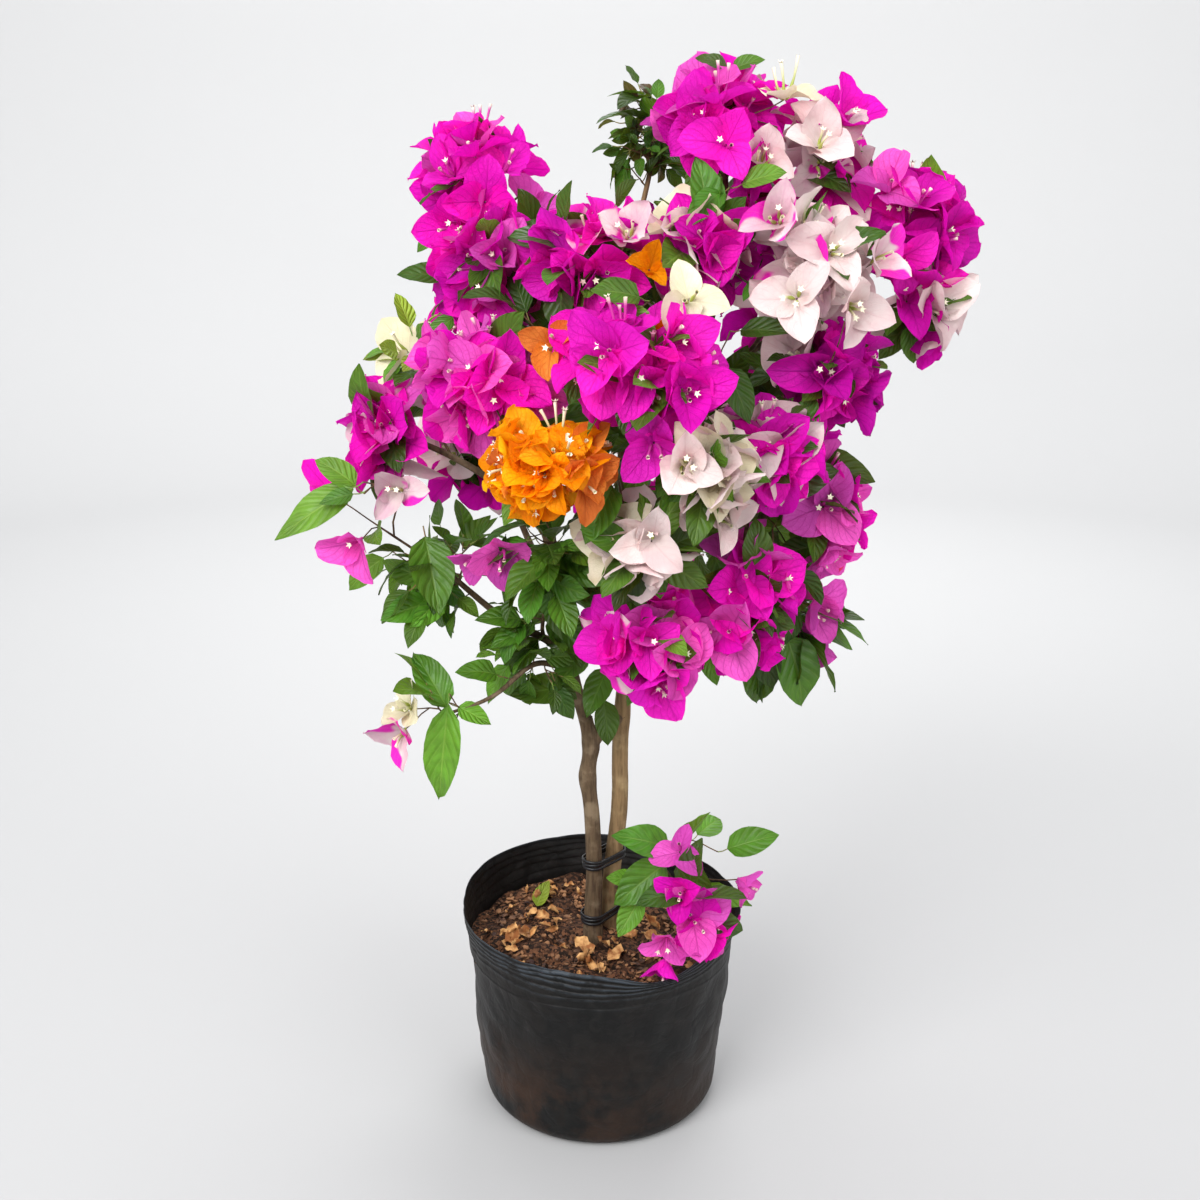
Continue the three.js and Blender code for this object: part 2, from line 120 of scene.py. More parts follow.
# Blooms and leaves placed one by one: where in millimetres, which way, size, and colour or tint
BLOOMS = [
    # left tip, the low left spray, and the two below the amber blooms
    ((-200, -118, 604), (-0.4, -0.85, -0.3), 48, "orchid"), ((-170, -92, 640), (-0.2, -0.9, 0.2), 36, "bicolour"),
    ((-166, -116, 452), (-0.45, -0.8, 0.4), 32, "cream"), ((-172, -104, 428), (-0.6, -0.65, -0.35), 42, "bicolour"),
    ((-82, -128, 598), (-0.1, -0.9, -0.35), 46, "orchid"), ((-100, -110, 588), (-0.5, -0.6, -0.5), 38, "orchid"),
    # left spike
    ((-122, -34, 896), (-0.3, -0.7, 0.5), 42, "hot"), ((-96, -48, 876), (0.1, -0.95, 0.25), 46, "magenta"),
    ((-82, -32, 900), (0.25, -0.6, 0.75), 40, "magenta"), ((-60, -26, 868), (0.5, -0.75, 0.35), 44, "orchid"),
    ((-120, -46, 856), (-0.4, -0.85, -0.1), 42, "magenta"), ((-104, -40, 912), (-0.2, -0.4, 0.9), 40, "magenta"),
    # middle of the front
    ((8, -232, 772), (-0.35, -0.9, 0.1), 48, "hot"), ((62, -228, 742), (0.3, -0.9, 0.1), 46, "magenta"),
    ((40, -222, 704), (-0.1, -0.9, -0.35), 44, "hot"), ((40, -212, 626), (-0.1, -0.95, 0.15), 44, "blush"),
    ((92, -190, 640), (0.5, -0.8, 0.1), 40, "blush"), ((62, -232, 690), (0.1, -0.95, 0.1), 40, "blush"),
    ((66, -190, 806), (0.0, -0.9, 0.4), 36, "cream"), ((22, -150, 850), (-0.1, -0.8, 0.5), 42, "bicolour"),
    ((46, -190, 770), (0.2, -0.9, 0.2), 32, "amber"), ((-36, -188, 772), (-0.3, -0.9, 0.3), 32, "peach"),
    ((38, -150, 826), (0.0, -0.8, 0.5), 30, "amber"),
    # low blooms over the soil
    ((74, -84, 298), (-0.2, -0.8, 0.6), 36, "orchid"), ((78, -98, 268), (-0.4, -0.9, 0.1), 38, "magenta"),
    ((62, -104, 222), (-0.1, -0.9, -0.3), 34, "orchid"), ((60, -108, 202), (-0.2, -0.6, -0.8), 34, "hot"),
    ((130, -60, 258), (0.8, -0.5, -0.3), 36, "orchid"), ((104, -80, 232), (0.5, -0.8, -0.2), 34, "magenta"),
    # top of the head
    ((150, -50, 956), (-0.05, -0.15, 1.0), 42, "cream"), ((96, -66, 950), (-0.05, -0.2, 1.0), 40, "hot"),
    ((176, -70, 918), (0.0, -0.7, 0.6), 44, "blush"), ((200, -40, 936), (0.4, -0.5, 0.7), 46, "magenta"),
    ((100, -92, 920), (0.0, -0.95, 0.2), 48, "hot"), ((136, -156, 862), (-0.2, -0.9, 0.3), 42, "bicolour"),
    ((132, -60, 905), (0.0, -0.8, 0.5), 38, "blush"),
    # right edge of the flank
    ((196, -64, 588), (0.6, -0.8, 0.0), 34, "coral"), ((186, -70, 532), (0.5, -0.8, -0.3), 42, "orchid"),
    # right of the head
    ((258, -62, 872), (0.35, -0.5, 0.75), 46, "magenta"), ((280, -50, 846), (0.85, -0.45, 0.25), 44, "magenta"),
    ((236, -60, 884), (-0.15, -0.7, 0.7), 44, "orchid"), ((248, -70, 832), (0.2, -0.9, -0.3), 40, "hot"),
    ((284, -44, 798), (0.6, -0.7, 0.0), 44, "blush"), ((176, -160, 840), (0.1, -0.9, 0.2), 46, "blush"),
    ((150, -172, 806), (-0.3, -0.9, 0.1), 44, "blush"), ((190, -166, 800), (0.4, -0.9, -0.1), 42, "blush"),
    ((214, -130, 830), (0.6, -0.7, 0.2), 40, "bicolour"),
]
LEAVES = [
    # left tip and the hanging low left spray
    ((-207, -108, 646), (-0.85, -0.2, -0.45), 81, "fresh"), ((-206, -100, 646), (-0.6, -0.2, 0.65), 42, "fresh"),
    ((-206, -114, 642), (-0.8, -0.3, -0.1), 30, "mid"),
    ((-196, -32, 566), (-0.7, -0.4, -0.4), 46, "fresh"), ((-150, -92, 600), (0.2, -0.5, -0.8), 70, "mid"),
    ((-134, -101, 450), (-0.12, -0.2, -1.0), 100, "fresh"), ((-136, -98, 446), (-0.35, 0.1, 0.75), 62, "mid"),
    ((-126, -96, 446), (0.75, -0.2, -0.3), 34, "fresh"),
    # left edge of the shoulder
    ((-128, -20, 856), (-0.75, -0.35, -0.3), 38, "mid"), ((-130, -46, 816), (-0.85, -0.3, 0.1), 42, "dark"),
    ((-124, -56, 782), (-0.7, -0.4, -0.5), 38, "mid"),
    # between the blooms of the front
    ((16, -190, 800), (0.6, -0.6, -0.5), 42, "fresh"), ((30, -190, 808), (-0.7, -0.6, 0.3), 44, "mid"),
    ((96, -112, 884), (-0.6, -0.7, -0.3), 44, "mid"), ((112, -110, 890), (0.7, -0.6, 0.3), 40, "fresh"),
    ((98, -158, 752), (0.4, -0.6, -0.7), 50, "dark"), ((110, -150, 780), (0.7, -0.6, 0.1), 46, "dark"),
    ((86, -160, 712), (0.2, -0.7, -0.7), 50, "dark"), ((-8, -190, 776), (-0.25, -0.7, -0.65), 52, "mid"),
    ((88, -176, 668), (0.6, -0.7, 0.3), 54, "mid"), ((10, -190, 664), (-0.4, -0.7, -0.6), 52, "mid"),
    # under the crown
    ((136, -60, 500), (0.25, -0.2, -0.95), 74, "dark"), ((168, -60, 500), (0.35, -0.3, -0.9), 72, "mid"),
    ((-28, -40, 444), (-0.9, -0.4, 0.05), 58, "dark"), ((4, -20, 424), (0.1, -0.4, -0.8), 44, "dark"),
    ((-16, -30, 470), (-0.4, -0.8, -0.1), 50, "mid"), ((-40, -50, 490), (0.3, -0.8, 0.2), 46, "dark"),
    ((6, -40, 462), (-0.3, -0.7, -0.5), 52, "dark"), ((-70, -74, 520), (-0.6, -0.5, 0.3), 44, "mid"),
    ((-92, -84, 472), (-0.5, -0.6, 0.4), 42, "mid"),
    # over the soil
    ((64, -62, 292), (-0.6, -0.5, 0.5), 62, "mid"), ((62, -66, 278), (-0.75, -0.5, -0.35), 64, "mid"),
    ((38, -70, 244), (-0.5, -0.5, -0.7), 42, "fresh"), ((34, -66, 262), (-0.9, -0.3, 0.2), 30, "fresh"),
    ((122, -40, 280), (0.8, -0.2, 0.4), 52, "mid"),
    # top
    ((104, -40, 982), (-0.8, -0.2, 0.45), 28, "dark"), ((108, -40, 980), (0.8, -0.3, 0.35), 28, "mid"),
]
SMALL_LEAVES = {"top_shoot": 0.36, "leaf_under": 0.64, "leaf_left": 0.72, "leaf_front": 0.8, "arm_left_top": 0.7}
SMALL_BRACTS = {"amber_front": 0.78}
HEART_SPRAYS = 60
HEART, HEART_REACH = np.array([0.05, -0.04, 0.72]), np.array([0.13, 0.09, 0.16])
SIDE_LEAF_SHARE = 0.24
TUBE_CHANCE = {"amber": 0.3}
OPEN_FLOWERS = 0.4
UPRIGHT, UPRIGHT_TUBE = 0.95, 1.7  # blooms that look straight up have longer tubes
CHOSEN_SIZE = 0.86
LONG_LEAF, SLIM = 80, 0.7  # a leaf placed one by one that is longer than this is slimmer than the rest
BRACT_INSET, LEAF_INSET = 0.027, 0.04  # how far tips stay inside the box of their mass
# The middle line of the crown, from which its masses look outward, and its lowest and highest point
CORE = np.array([0.015, 0.01, 0.0])
CORE_LOW, CORE_HIGH = 0.56, 0.80

# ---------------------------------------------------------------- sizes of the small parts, in metres
LEAF_LENGTH = (0.044, 0.070)
SIDE_LEAF_LENGTH = (0.034, 0.056)
BRACT_LENGTH = (0.035, 0.047)
# Breadth by length; the least and most of its change, of the bend, the fold and the wave; the outline;
# and how many points from base to tip and from margin to margin.
BLADES = {
    "leaves": (0.56, (0.9, 1.12), (0.15, 1.0), (0.1, 0.4), (0.0, 0.035), (0.62, 0.95, 0.05), 9, 7),
    "bracts": (0.93, (0.85, 1.1), (-0.25, 1.1), (0.2, 0.78), (0.02, 0.055), (0.5, 0.78, 0.05), 11, 9),
}
RUFFLED = {"amber_bracts": 1.7}
CHIP_OUTLINE, DRY_OUTLINE = (0.25, 0.25, 0.3), (0.5, 0.7, 0.05)
FLOWER_LENGTH = 0.019
FLOWER_RADIUS = 0.0011
FLOWER_BOW = 0.0016
FLOWER_SHAPE = np.array([[0.0, 1.0], [0.22, 1.55], [0.5, 0.85], [0.85, 1.15], [0.98, 1.5]])
STAR_RADIUS = 0.003
PETIOLE_RADIUS = 0.0006
TWIG_RADIUS = 0.00075
TWIG_STEP = 0.014

# ---------------------------------------------------------------- bag, ties and lamps
# The bag in millimetres: wall radius by height, the flat of the foot, the rim, each fold's depth below
# the rim and its height, the film, and how many rows of points the inside has.
BAG_WALL = np.array([[118, 18], [122, 62], [128, 130], [132.5, 172], [139, 206]], float)
BAG_FOOT, BAG_RIM, FILM, INSIDE_ROWS = 101.0, 206, 0.6, 72
BAG_FOLDS = ((4, 1.6), (10, 1.5), (16, 1.4), (23, 1.3), (31, 1.0), (43, 0.7))
# The tie's section: out from its middle line, and up
BAND = np.array([[0.5, -1.7], [1.5, -1.2], [1.6, 1.2], [0.5, 1.7], [0.0, 1.2], [0.0, -1.2]])
# Each tie: the middle of the left and of the right stem, and the reach round them, in millimetres
TIES = (("tie_lower", (-7, -8), (10, 15), 10.6), ("tie_upper", (-6, -7), (14, 15), 9.9))
# Each lamp: name, place, where it looks, size and power
LAMPS = (("key", (-1.2, -1.9, 2.0), (0, 0, 0.55), 1.7, 88), ("fill", (1.7, -1.7, 1.3), (0, 0, 0.55), 1.8, 34),
         ("back", (0.6, 2.0, 2.4), (0, 0, 0.55), 1.6, 26), ("wall", (0.0, 1.2, 3.2), (0, 4.5, 1.2), 2.0, 130))

# ---------------------------------------------------------------- stems and boughs
# The limbs' routes in millimetres: points, root radius, tip radius, root flare, swellings
LIMBS = {
    "stem_left": ([[-7, -8, 160], [-7, -8, 185], [-6, -7, 250], [-8, -5, 300], [-12, -5, 341], [-9, -5, 372],
                   [-14, -8, 402]], 8.4, 6.4, 4, [(0.74, 1.6), (0.88, 1.8)]),
    "stem_right": ([[9, 15, 160], [9, 15, 185], [13, 15, 240], [19, 15, 295], [20, 15, 380], [24, 14, 430],
                    [26, 12, 482]], 8.6, 7.0, 3.5, [(0.72, 0.8)]),
    "fork_arm": ([[-10, -5, 374], [0, 1, 385], [11, 9, 391], [21, 14, 396]], 6.8, 7.2, 2, []),
    "bough_left": ([[-13, -8, 397], [-24, -22, 432], [-42, -44, 486], [-84, -60, 515], [-135, -62, 560]],
                   5.2, 2.2, 0, []),
    "bough_low_left": ([[-34, -34, 462], [-60, -62, 474], [-96, -86, 452], [-137, -100, 440]], 3.0, 1.2, 0, []),
    "bough_centre_left": ([[-14, -8, 398], [-26, -10, 450], [-34, -16, 520], [-52, -34, 600], [-84, -110, 720]],
                          6, 2.6, 0, []),
    "bough_arm_left": ([[-48, -30, 588], [-84, -34, 628], [-130, -42, 660], [-182, -50, 685]], 4, 2, 0, []),
    "bough_shoulder": ([[-42, -22, 555], [-52, 8, 640], [-70, 0, 720], [-85, -30, 820], [-95, -10, 880]],
                       4.6, 2, 0, []),
    "leader": ([[25, 12, 478], [18, 16, 540], [20, 12, 640], [30, 14, 720], [28, 24, 820], [44, 36, 900]],
               6.8, 2, 0, []),
    "bough_head": ([[20, 12, 600], [52, 2, 670], [92, -14, 760], [106, -20, 840], [105, -30, 920]], 5, 2.2, 0, []),
    "bough_head_right": ([[66, -3, 700], [120, -20, 742], [196, -26, 790], [268, -24, 850]], 4, 1.8, 0, []),
    "bough_right": ([[25, 12, 470], [60, 4, 530], [110, -18, 585], [198, -70, 630]], 5, 2, 0, []),
    "bough_front": ([[19, 14, 575], [26, -40, 612], [28, -100, 655], [25, -195, 740]], 4.4, 1.8, 0, []),
    "bough_front_low": ([[24, 14, 436], [40, -30, 468], [66, -80, 505], [110, -140, 560]], 4.2, 2, 0, []),
    "bough_back": ([[19, 15, 540], [30, 60, 590], [36, 110, 640], [40, 160, 700]], 4.4, 2, 0, []),
    "bough_back_left": ([[-30, -12, 485], [-56, 24, 540], [-86, 60, 600], [-115, 90, 655]], 4, 2, 0, []),
    "bough_back_right": ([[20, 12, 640], [74, 34, 664], [120, 50, 684], [170, 60, 700]], 4, 2, 0, []),
    "bough_low": ([[11, 14, 210], [28, 0, 226], [48, -20, 248], [80, -44, 272]], 3.2, 1.6, 0, []),
}
TAN_LIMBS = ("stem_right", "leader")

# ---------------------------------------------------------------- chance, vectors, frames, meshes


def chance(what, extra=0):
    """The stream of chance draws for one thing, the same in each run."""
    return np.random.default_rng(SEEDS[what] + extra)


def unit(v):
    """Each row divided by its length."""
    return v / np.maximum(np.linalg.norm(v, axis=-1, keepdims=True), 1e-9)


def square_to(direction, guess):
    """guess with its share along direction taken off, then made one long."""
    direction, guess = np.broadcast_arrays(direction, guess)
    return unit(guess - direction * np.sum(guess * direction, axis=-1, keepdims=True))


def smooth_route(points, step):
    """A Catmull-Rom curve with centripetal knots through the points, sampled about every step."""
    p = np.asarray(points, float)
    p = np.vstack([2 * p[0] - p[1], p, 2 * p[-1] - p[-2]])
    t = np.concatenate([[0], np.cumsum(np.sqrt(np.linalg.norm(np.diff(p, axis=0), axis=1)))])
    parts = []
    for i in range(1, len(p) - 2):
        count = max(2, int(np.linalg.norm(p[i + 1] - p[i]) / step))
        s = np.linspace(t[i], t[i + 1], count, endpoint=False)[:, None]
        a = [((t[i + j] - s) * p[i + j - 1] + (s - t[i + j - 1]) * p[i + j]) / (t[i + j] - t[i + j - 1])
             for j in (0, 1, 2)]
        b = [((t[i + j + 1] - s) * a[j] + (s - t[i + j - 1]) * a[j + 1]) / (t[i + j + 1] - t[i + j - 1])
             for j in (0, 1)]
        parts.append(((t[i + 1] - s) * b[0] + (s - t[i]) * b[1]) / (t[i + 1] - t[i]))
    return np.vstack(parts + [p[-2][None]])


def carried_frames(route):
    """Two directions square to the route at each point, turned as little as the route allows."""
    along = unit(np.gradient(route, axis=0))
    side = np.empty_like(along)
    side[0] = square_to(along[0], np.array([0.99, 0.13, 0.05]))
    for i in range(1, len(route)):
        side[i] = square_to(along[i], side[i - 1])
    return side, np.cross(along, side)


def spokes(one, two, sides):
    """The directions from an axis to the corners of an even polygon, for each pair of square directions."""
    a = 2 * math.pi * np.arange(sides) / sides
    return np.cos(a)[None, :, None] * one[:, None] + np.sin(a)[None, :, None] * two[:, None]


def grid_faces(rows, columns, wrap=False):
    """The four corners of each cell of a grid of points, row by row, joined round if wrap."""
    r = np.arange(rows - 1)[:, None]
    c = np.arange(columns if wrap else columns - 1)[None, :]
    n = (c + 1) % columns
    return np.stack([r * columns + c, r * columns + n, (r + 1) * columns + n, (r + 1) * columns + c],
                    axis=-1).reshape(-1, 4)


def turned_points(radius, height, angle):
    """Points round the upright axis, row by row: radius times cosine and sine of the angle, and height."""
    return np.stack(np.broadcast_arrays(radius * np.cos(angle), radius * np.sin(angle), height), axis=-1)


def fan(centre, first, count, turned=False):
    """Triangles from the centre point to each two neighbours of a ring of points that starts at first."""
    k = first + np.arange(count)
    n = first + (np.arange(count) + 1) % count
    return np.stack([np.full(count, centre), *((n, k) if turned else (k, n))], axis=1)


def repeated(faces, count, size):
    """The faces of one shape repeated for count shapes of size points each."""
    return (faces[None] + (np.arange(count) * size)[:, None, None]).reshape(-1, faces.shape[1])


def atlas(count, u, v):
    """A neat map: each of count shapes gets a square cell, filled by its own u and v (0 to 1)."""
    across = math.ceil(math.sqrt(count))
    cell = np.arange(count)
    u, v = np.broadcast_arrays(u, v)
    uv = np.empty((count,) + u.shape + (2,))
    lead = (slice(None),) + (None,) * u.ndim
    uv[..., 0] = ((cell % across)[lead] + 0.06 + 0.88 * u) / across
    uv[..., 1] = ((cell // across)[lead] + 0.06 + 0.88 * v) / across
    return uv.reshape(-1, 2)


def placed(name, data):
    """A new object made of the data, in the scene."""
    obj = bpy.data.objects.new(name, data)
    bpy.context.scene.collection.objects.link(obj)
    return obj


def piece(name, points, faces, material, slot, replaces=(), maps=None, tint=None):
    """One mesh object from arrays: points, lists of face corners, UV maps and a tint by point."""
    faces = [np.asarray(f) for f in faces if len(f)]
    corners = np.concatenate([f.ravel() for f in faces])
    sizes = np.concatenate([np.full(len(f), f.shape[1]) for f in faces])
    mesh = bpy.data.meshes.new(name)
    mesh.vertices.add(len(points))
    mesh.vertices.foreach_set("co", np.asarray(points, np.float32).ravel())
    mesh.loops.add(len(corners))
    mesh.loops.foreach_set("vertex_index", corners.astype(np.int32))
    mesh.polygons.add(len(sizes))
    mesh.polygons.foreach_set("loop_start", np.concatenate([[0], np.cumsum(sizes)[:-1]]).astype(np.int32))
    for label, uv in (maps or {}).items():
        mesh.uv_layers.new(name=label).data.foreach_set("uv", uv[corners].astype(np.float32).ravel())
    if tint is not None:
        mesh.attributes.new("tint", "FLOAT", "POINT").data.foreach_set("value", tint.astype(np.float32))
    mesh.update(calc_edges=True)
    mesh.polygons.foreach_set("use_smooth", np.full(len(sizes), True))
    mesh.materials.append(material)
    obj = placed(name, mesh)
    if slot is None:
        return obj
    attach(obj, "root")
    if replaces:
        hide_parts(*replaces)
    return obj


# ---------------------------------------------------------------- materials


def linear(colour):
    """An sRGB hex colour as linear red, green, blue and 1."""
    parts = [int(colour[i:i + 2], 16) / 255 for i in (1, 3, 5)]
    return [c / 12.92 if c <= 0.04045 else ((c + 0.055) / 1.055) ** 2.4 for c in parts] + [1.0]


class Paint:
    """A material while it is mixed: its node tree, with a short method for each kind of node."""

    def __init__(self, name):
        self.material = bpy.data.materials.new(name)
        self.material.use_nodes = True
        self.tree = self.material.node_tree
        self.tree.nodes.clear()

    def add(self, kind, inputs=None, **settings):
        """Adds a node with its settings; inputs gives each socket a value, a hex colour or a link."""
        made = self.tree.nodes.new("ShaderNode" + kind)
        for key, value in settings.items():
            setattr(made, key, value)
        for key, value in (inputs or {}).items():
            if isinstance(value, bpy.types.NodeSocket):
                self.tree.links.new(value, made.inputs[key])
            else:
                made.inputs[key].default_value = linear(value) if isinstance(value, str) else value
        return made

    def place(self):
        """Where a point lies on its object."""
        return self.add("TexCoord").outputs["Object"]

    def tint(self):
        """The value that each point carries."""
        return self.add("Attribute", attribute_name="tint").outputs["Fac"]

    def split(self, vector):
        """The three parts of a vector."""
        return self.add("SeparateXYZ", {0: vector}).outputs

    def maths(self, operation, *values):
        """One arithmetic step."""
        return self.add("Math", dict(enumerate(values)), operation=operation).outputs[0]

    def times(self, first, second):
        """first times second."""
        return self.maths("MULTIPLY", first, second)

    def line(self, value, slope, start):
        """slope times the value, plus start."""
        return self.maths("MULTIPLY_ADD", value, slope, start)

    def rest(self, value):
        """1 less the value."""
        return self.maths("SUBTRACT", 1.0, value)

    def most(self, first, second):
        """The greater of the two."""
        return self.maths("MAXIMUM", first, second)

    def ramp(self, value, low, high):
        """0 at low, 1 at high, smooth between and level beyond."""
        return self.add("MapRange", {0: value, 1: low, 2: high}, interpolation_type="SMOOTHSTEP").outputs[0]

    def mix(self, share, first, second):
        """A colour mix: first where share is 0, second where it is 1."""
        return self.add("Mix", {0: share, 6: first, 7: second}, data_type="RGBA").outputs[2]

    def patches(self, body, value, low, high, most, colour):
        """The body with the colour over it where the value rises from low to high, up to a share of most."""
        return self.mix(self.times(self.ramp(value, low, high), most), body, colour)

    def noise(self, place, scale, detail, **more):
        """Cloudy noise with scale clouds to the metre."""
        return self.add("TexNoise", {"Vector": place, "Scale": scale, "Detail": detail, **more}).outputs[0]

    def cracks(self, place, scale, **more):
        """The distance to the nearest edge of a net of cells."""
        return self.add("TexVoronoi", {"Vector": place, "Scale": scale, **more},
                        feature="DISTANCE_TO_EDGE").outputs[0]

    def blade_places(self):
        """Where a point lies on its leaf or bract: distance from the midrib 0 to 1, base to tip 0 to 1,
        and one margin to the other 0 to 1."""
        across, up, _ = self.split(self.add("UVMap", uv_map="blade").outputs[0])
        return self.maths("ABSOLUTE", self.line(across, 2.0, -1.0)), up, across

    def side_veins(self, off, up, pairs, lean, sharp):
        """Ribs that leave the midrib in pairs and lean to the tip: a wave along base to tip less off."""
        wave = self.maths("COSINE", self.times(self.line(off, -lean, up), pairs * 2 * math.pi))
        return self.ramp(wave, sharp, 1.0)

    def toned(self, colour, hue, value):
        """The colour with its hue and brightness moved by the tint, each by a slope and a start."""
        tint = self.tint()
        return self.add("HueSaturation", {"Hue": self.line(tint, *hue), "Value": self.line(tint, *value),
                                          "Color": colour}).outputs[0]

    def skin(self, colour, rough, gloss=0.5, bump=None):
        """An opaque skin; bump is a strength, a depth in metres and a height."""
        inputs = {"Base Color": colour, "Roughness": rough, "Specular IOR Level": gloss}
        if bump:
            inputs["Normal"] = self.add("Bump", dict(zip(("Strength", "Distance", "Height"), bump))).outputs[0]
        return self.add("BsdfPrincipled", inputs).outputs[0]

    def finish(self, shader, glow=None, share=0.0):
        """Ends the material with its skin, and a share of light let through in the colour glow."""
        if glow is not None:
            through = self.add("BsdfTranslucent", {"Color": glow}).outputs[0]
            shader = self.add("MixShader", {0: share, 1: shader, 2: through}).outputs[0]
        self.add("OutputMaterial", {"Surface": shader})
        return self.material


def leaf_blade(name, colour, rib, shine):
    """Living leaf: a waxy cuticle over green tissue. It gives a soft broad gloss, paler sunk veins,
    hollows between them darkened as painted shade, and a yellow-green glow where light comes through."""
    paint = Paint(name)
    off, up, _ = paint.blade_places()
    midrib = paint.rest(paint.ramp(off, 0.02, 0.09))
    lines = paint.most(midrib, paint.times(paint.side_veins(off, up, 6.0, 0.32, 0.82), 0.5))
    sunk_and_shaded = paint.most(paint.ramp(off, 0.35, 0.0), paint.side_veins(off, up, 6.0, 0.32, -0.9))
    mottle = paint.noise(paint.place(), 60.0, 3.0)
    deep = [c * 0.66 for c in linear(colour)[:3]] + [1]
    base = paint.mix(paint.ramp(mottle, 0.3, 0.7), deep, colour)
    # painted shade: the sunk zone along the midrib and veins is darkened a quarter of the way to the deep tone
    base = paint.mix(paint.times(sunk_and_shaded, 0.25), base, deep)
    coloured = paint.mix(paint.times(lines, 0.24), paint.toned(base, (0.03, 0.485), (0.6, 0.7)), rib)
    height = paint.line(sunk_and_shaded, -0.45, paint.line(lines, -0.3, mottle))
    solid = paint.skin(coloured, shine, 0.4, (0.7, 0.0024, height))
    return paint.finish(solid, paint.mix(0.45, coloured, "#a8c838"), 0.22)


def bract_paper(name, colour, deep, veins_show=0.42, through_share=0.42, crease=0.7, margin=None):
    """Bract: dry paper-thin coloured leaf. It gives a matt silky face, fine branching veins in a deeper
    tone, a blotched margin where one is named, and strong glow where light comes through."""
    paint = Paint(name)
    off, up, across = paint.blade_places()
    place = paint.place()
    midrib = paint.rest(paint.ramp(off, 0.01, 0.05))
    ribs = paint.side_veins(off, up, 5.0, 0.55, 0.9)
    net = paint.rest(paint.ramp(paint.cracks(place, 260.0), 0.0, 0.12))
    lines = paint.most(paint.most(midrib, paint.times(ribs, 0.7)), paint.times(net, 0.25))
    mottle = paint.noise(place, 45.0, 2.0)
    body = paint.patches(colour, mottle, 0.35, 0.7, 0.4, deep)
    if margin:
        blotch = paint.line(paint.noise(place, 28.0, 2.0), 4.0, -2.0)
        body = paint.mix(paint.ramp(paint.maths("ADD", across, blotch), 0.62, 0.86), body, margin)
    coloured = paint.mix(paint.times(lines, veins_show), paint.toned(body, (0.02, 0.49), (0.34, 0.8)), deep)
    solid = paint.skin(coloured, 0.6, 0.2, (crease, 0.0016, paint.line(mottle, 0.8, lines)))
    return paint.finish(solid, coloured, through_share)


def flower_tube(name, colour, foot, low, high):
    """Flower tube: a thin fleshy tube with a star of lobes. It gives a soft waxy skin that turns from
    the foot colour to the lobe colour between low and high along it."""
    paint = Paint(name)
    up = paint.split(paint.add("UVMap", uv_map="blade").outputs[0])[1]
    return paint.finish(paint.skin(paint.mix(paint.ramp(up, low, high), foot, colour), 0.5))


def bark(name, colour, dark, pale, ridge_mm):
    """Bark: corky outer layer split lengthwise. It gives a matt rough face with dark fissures, pale
    flaking ridges and grey bloom. ridge_mm is the spacing of the fissures round the stem."""
    paint = Paint(name)
    place = paint.place()
    long_way = paint.add("Mapping", {"Vector": place, "Scale": (1.0, 1.0, 0.12)}).outputs[0]
    scale = 1.0 / (ridge_mm * MM)
    grain = paint.noise(long_way, scale, 6.0, Roughness=0.65)
    body = paint.mix(paint.ramp(grain, 0.25, 0.62), dark, colour)
    body = paint.patches(body, paint.noise(place, scale / 6, 3.0), 0.5, 0.7, 0.6, pale)
    body = paint.patches(body, paint.noise(place, scale * 3, 2.0), 0.6, 0.75, 0.2, dark)
    return paint.finish(paint.skin(body, 0.86, 0.25, (0.9, 0.0012, grain)))


def plain_skin(name, colour, second, scale_mm, rough):
    """A skin of two near tones in soft patches scale_mm wide, with a fine bump."""
    paint = Paint(name)
    patch = paint.noise(paint.place(), 1.0 / (scale_mm * MM), 4.0)
    body = paint.mix(paint.ramp(patch, 0.35, 0.65), colour, second)
    return paint.finish(paint.skin(body, rough, bump=(0.6, 0.3 * MM, patch)))


def bag_film():
    """Black polythene film, blown thin and creased by hand: a satin black skin with a soft grey sheen,
    fine crackled creases, a painted grey highlight on crests and rim, and brown dust that has settled low down."""
    paint = Paint("black_polythene_film")
    place = paint.place()
    sideways, _, height = paint.split(place)
    crease = paint.cracks(place, 42.0, Detail=2.0, Randomness=1.0)
    wrinkle = paint.noise(place, 55.0, 6.0, Distortion=1.2)
    dust = paint.noise(place, 15.0, 7.0, Roughness=0.7)
    low = paint.rest(paint.ramp(height, 0.02, 0.13))
    settled = paint.times(low, paint.line(paint.ramp(sideways, 0.05, -0.1), 0.6, 0.4))
    dusty = paint.times(paint.ramp(dust, 0.38, 0.62), paint.line(settled, 0.9, 0.05))
    body = paint.mix(paint.ramp(wrinkle, 0.4, 0.7), "#0c0c0c", "#161514")
    body = paint.mix(dusty, body, "#38261b")
    # painted highlight: bluish grey on the fold crests and the rim where the tint is high, standing in for the lit
    # edges of the film
    painted_crest_highlight = paint.times(paint.ramp(paint.tint(), 0.25, 1.1), paint.ramp(wrinkle, 0.3, 0.6))
    body = paint.mix(paint.times(painted_crest_highlight, 0.75), body, "#3c444c")
    fold = paint.line(paint.ramp(crease, 0.0, 0.09), 0.22, wrinkle)
    return paint.finish(paint.skin(body, paint.line(dust, 0.3, 0.36), 0.22, (0.55, 0.0016, fold)))


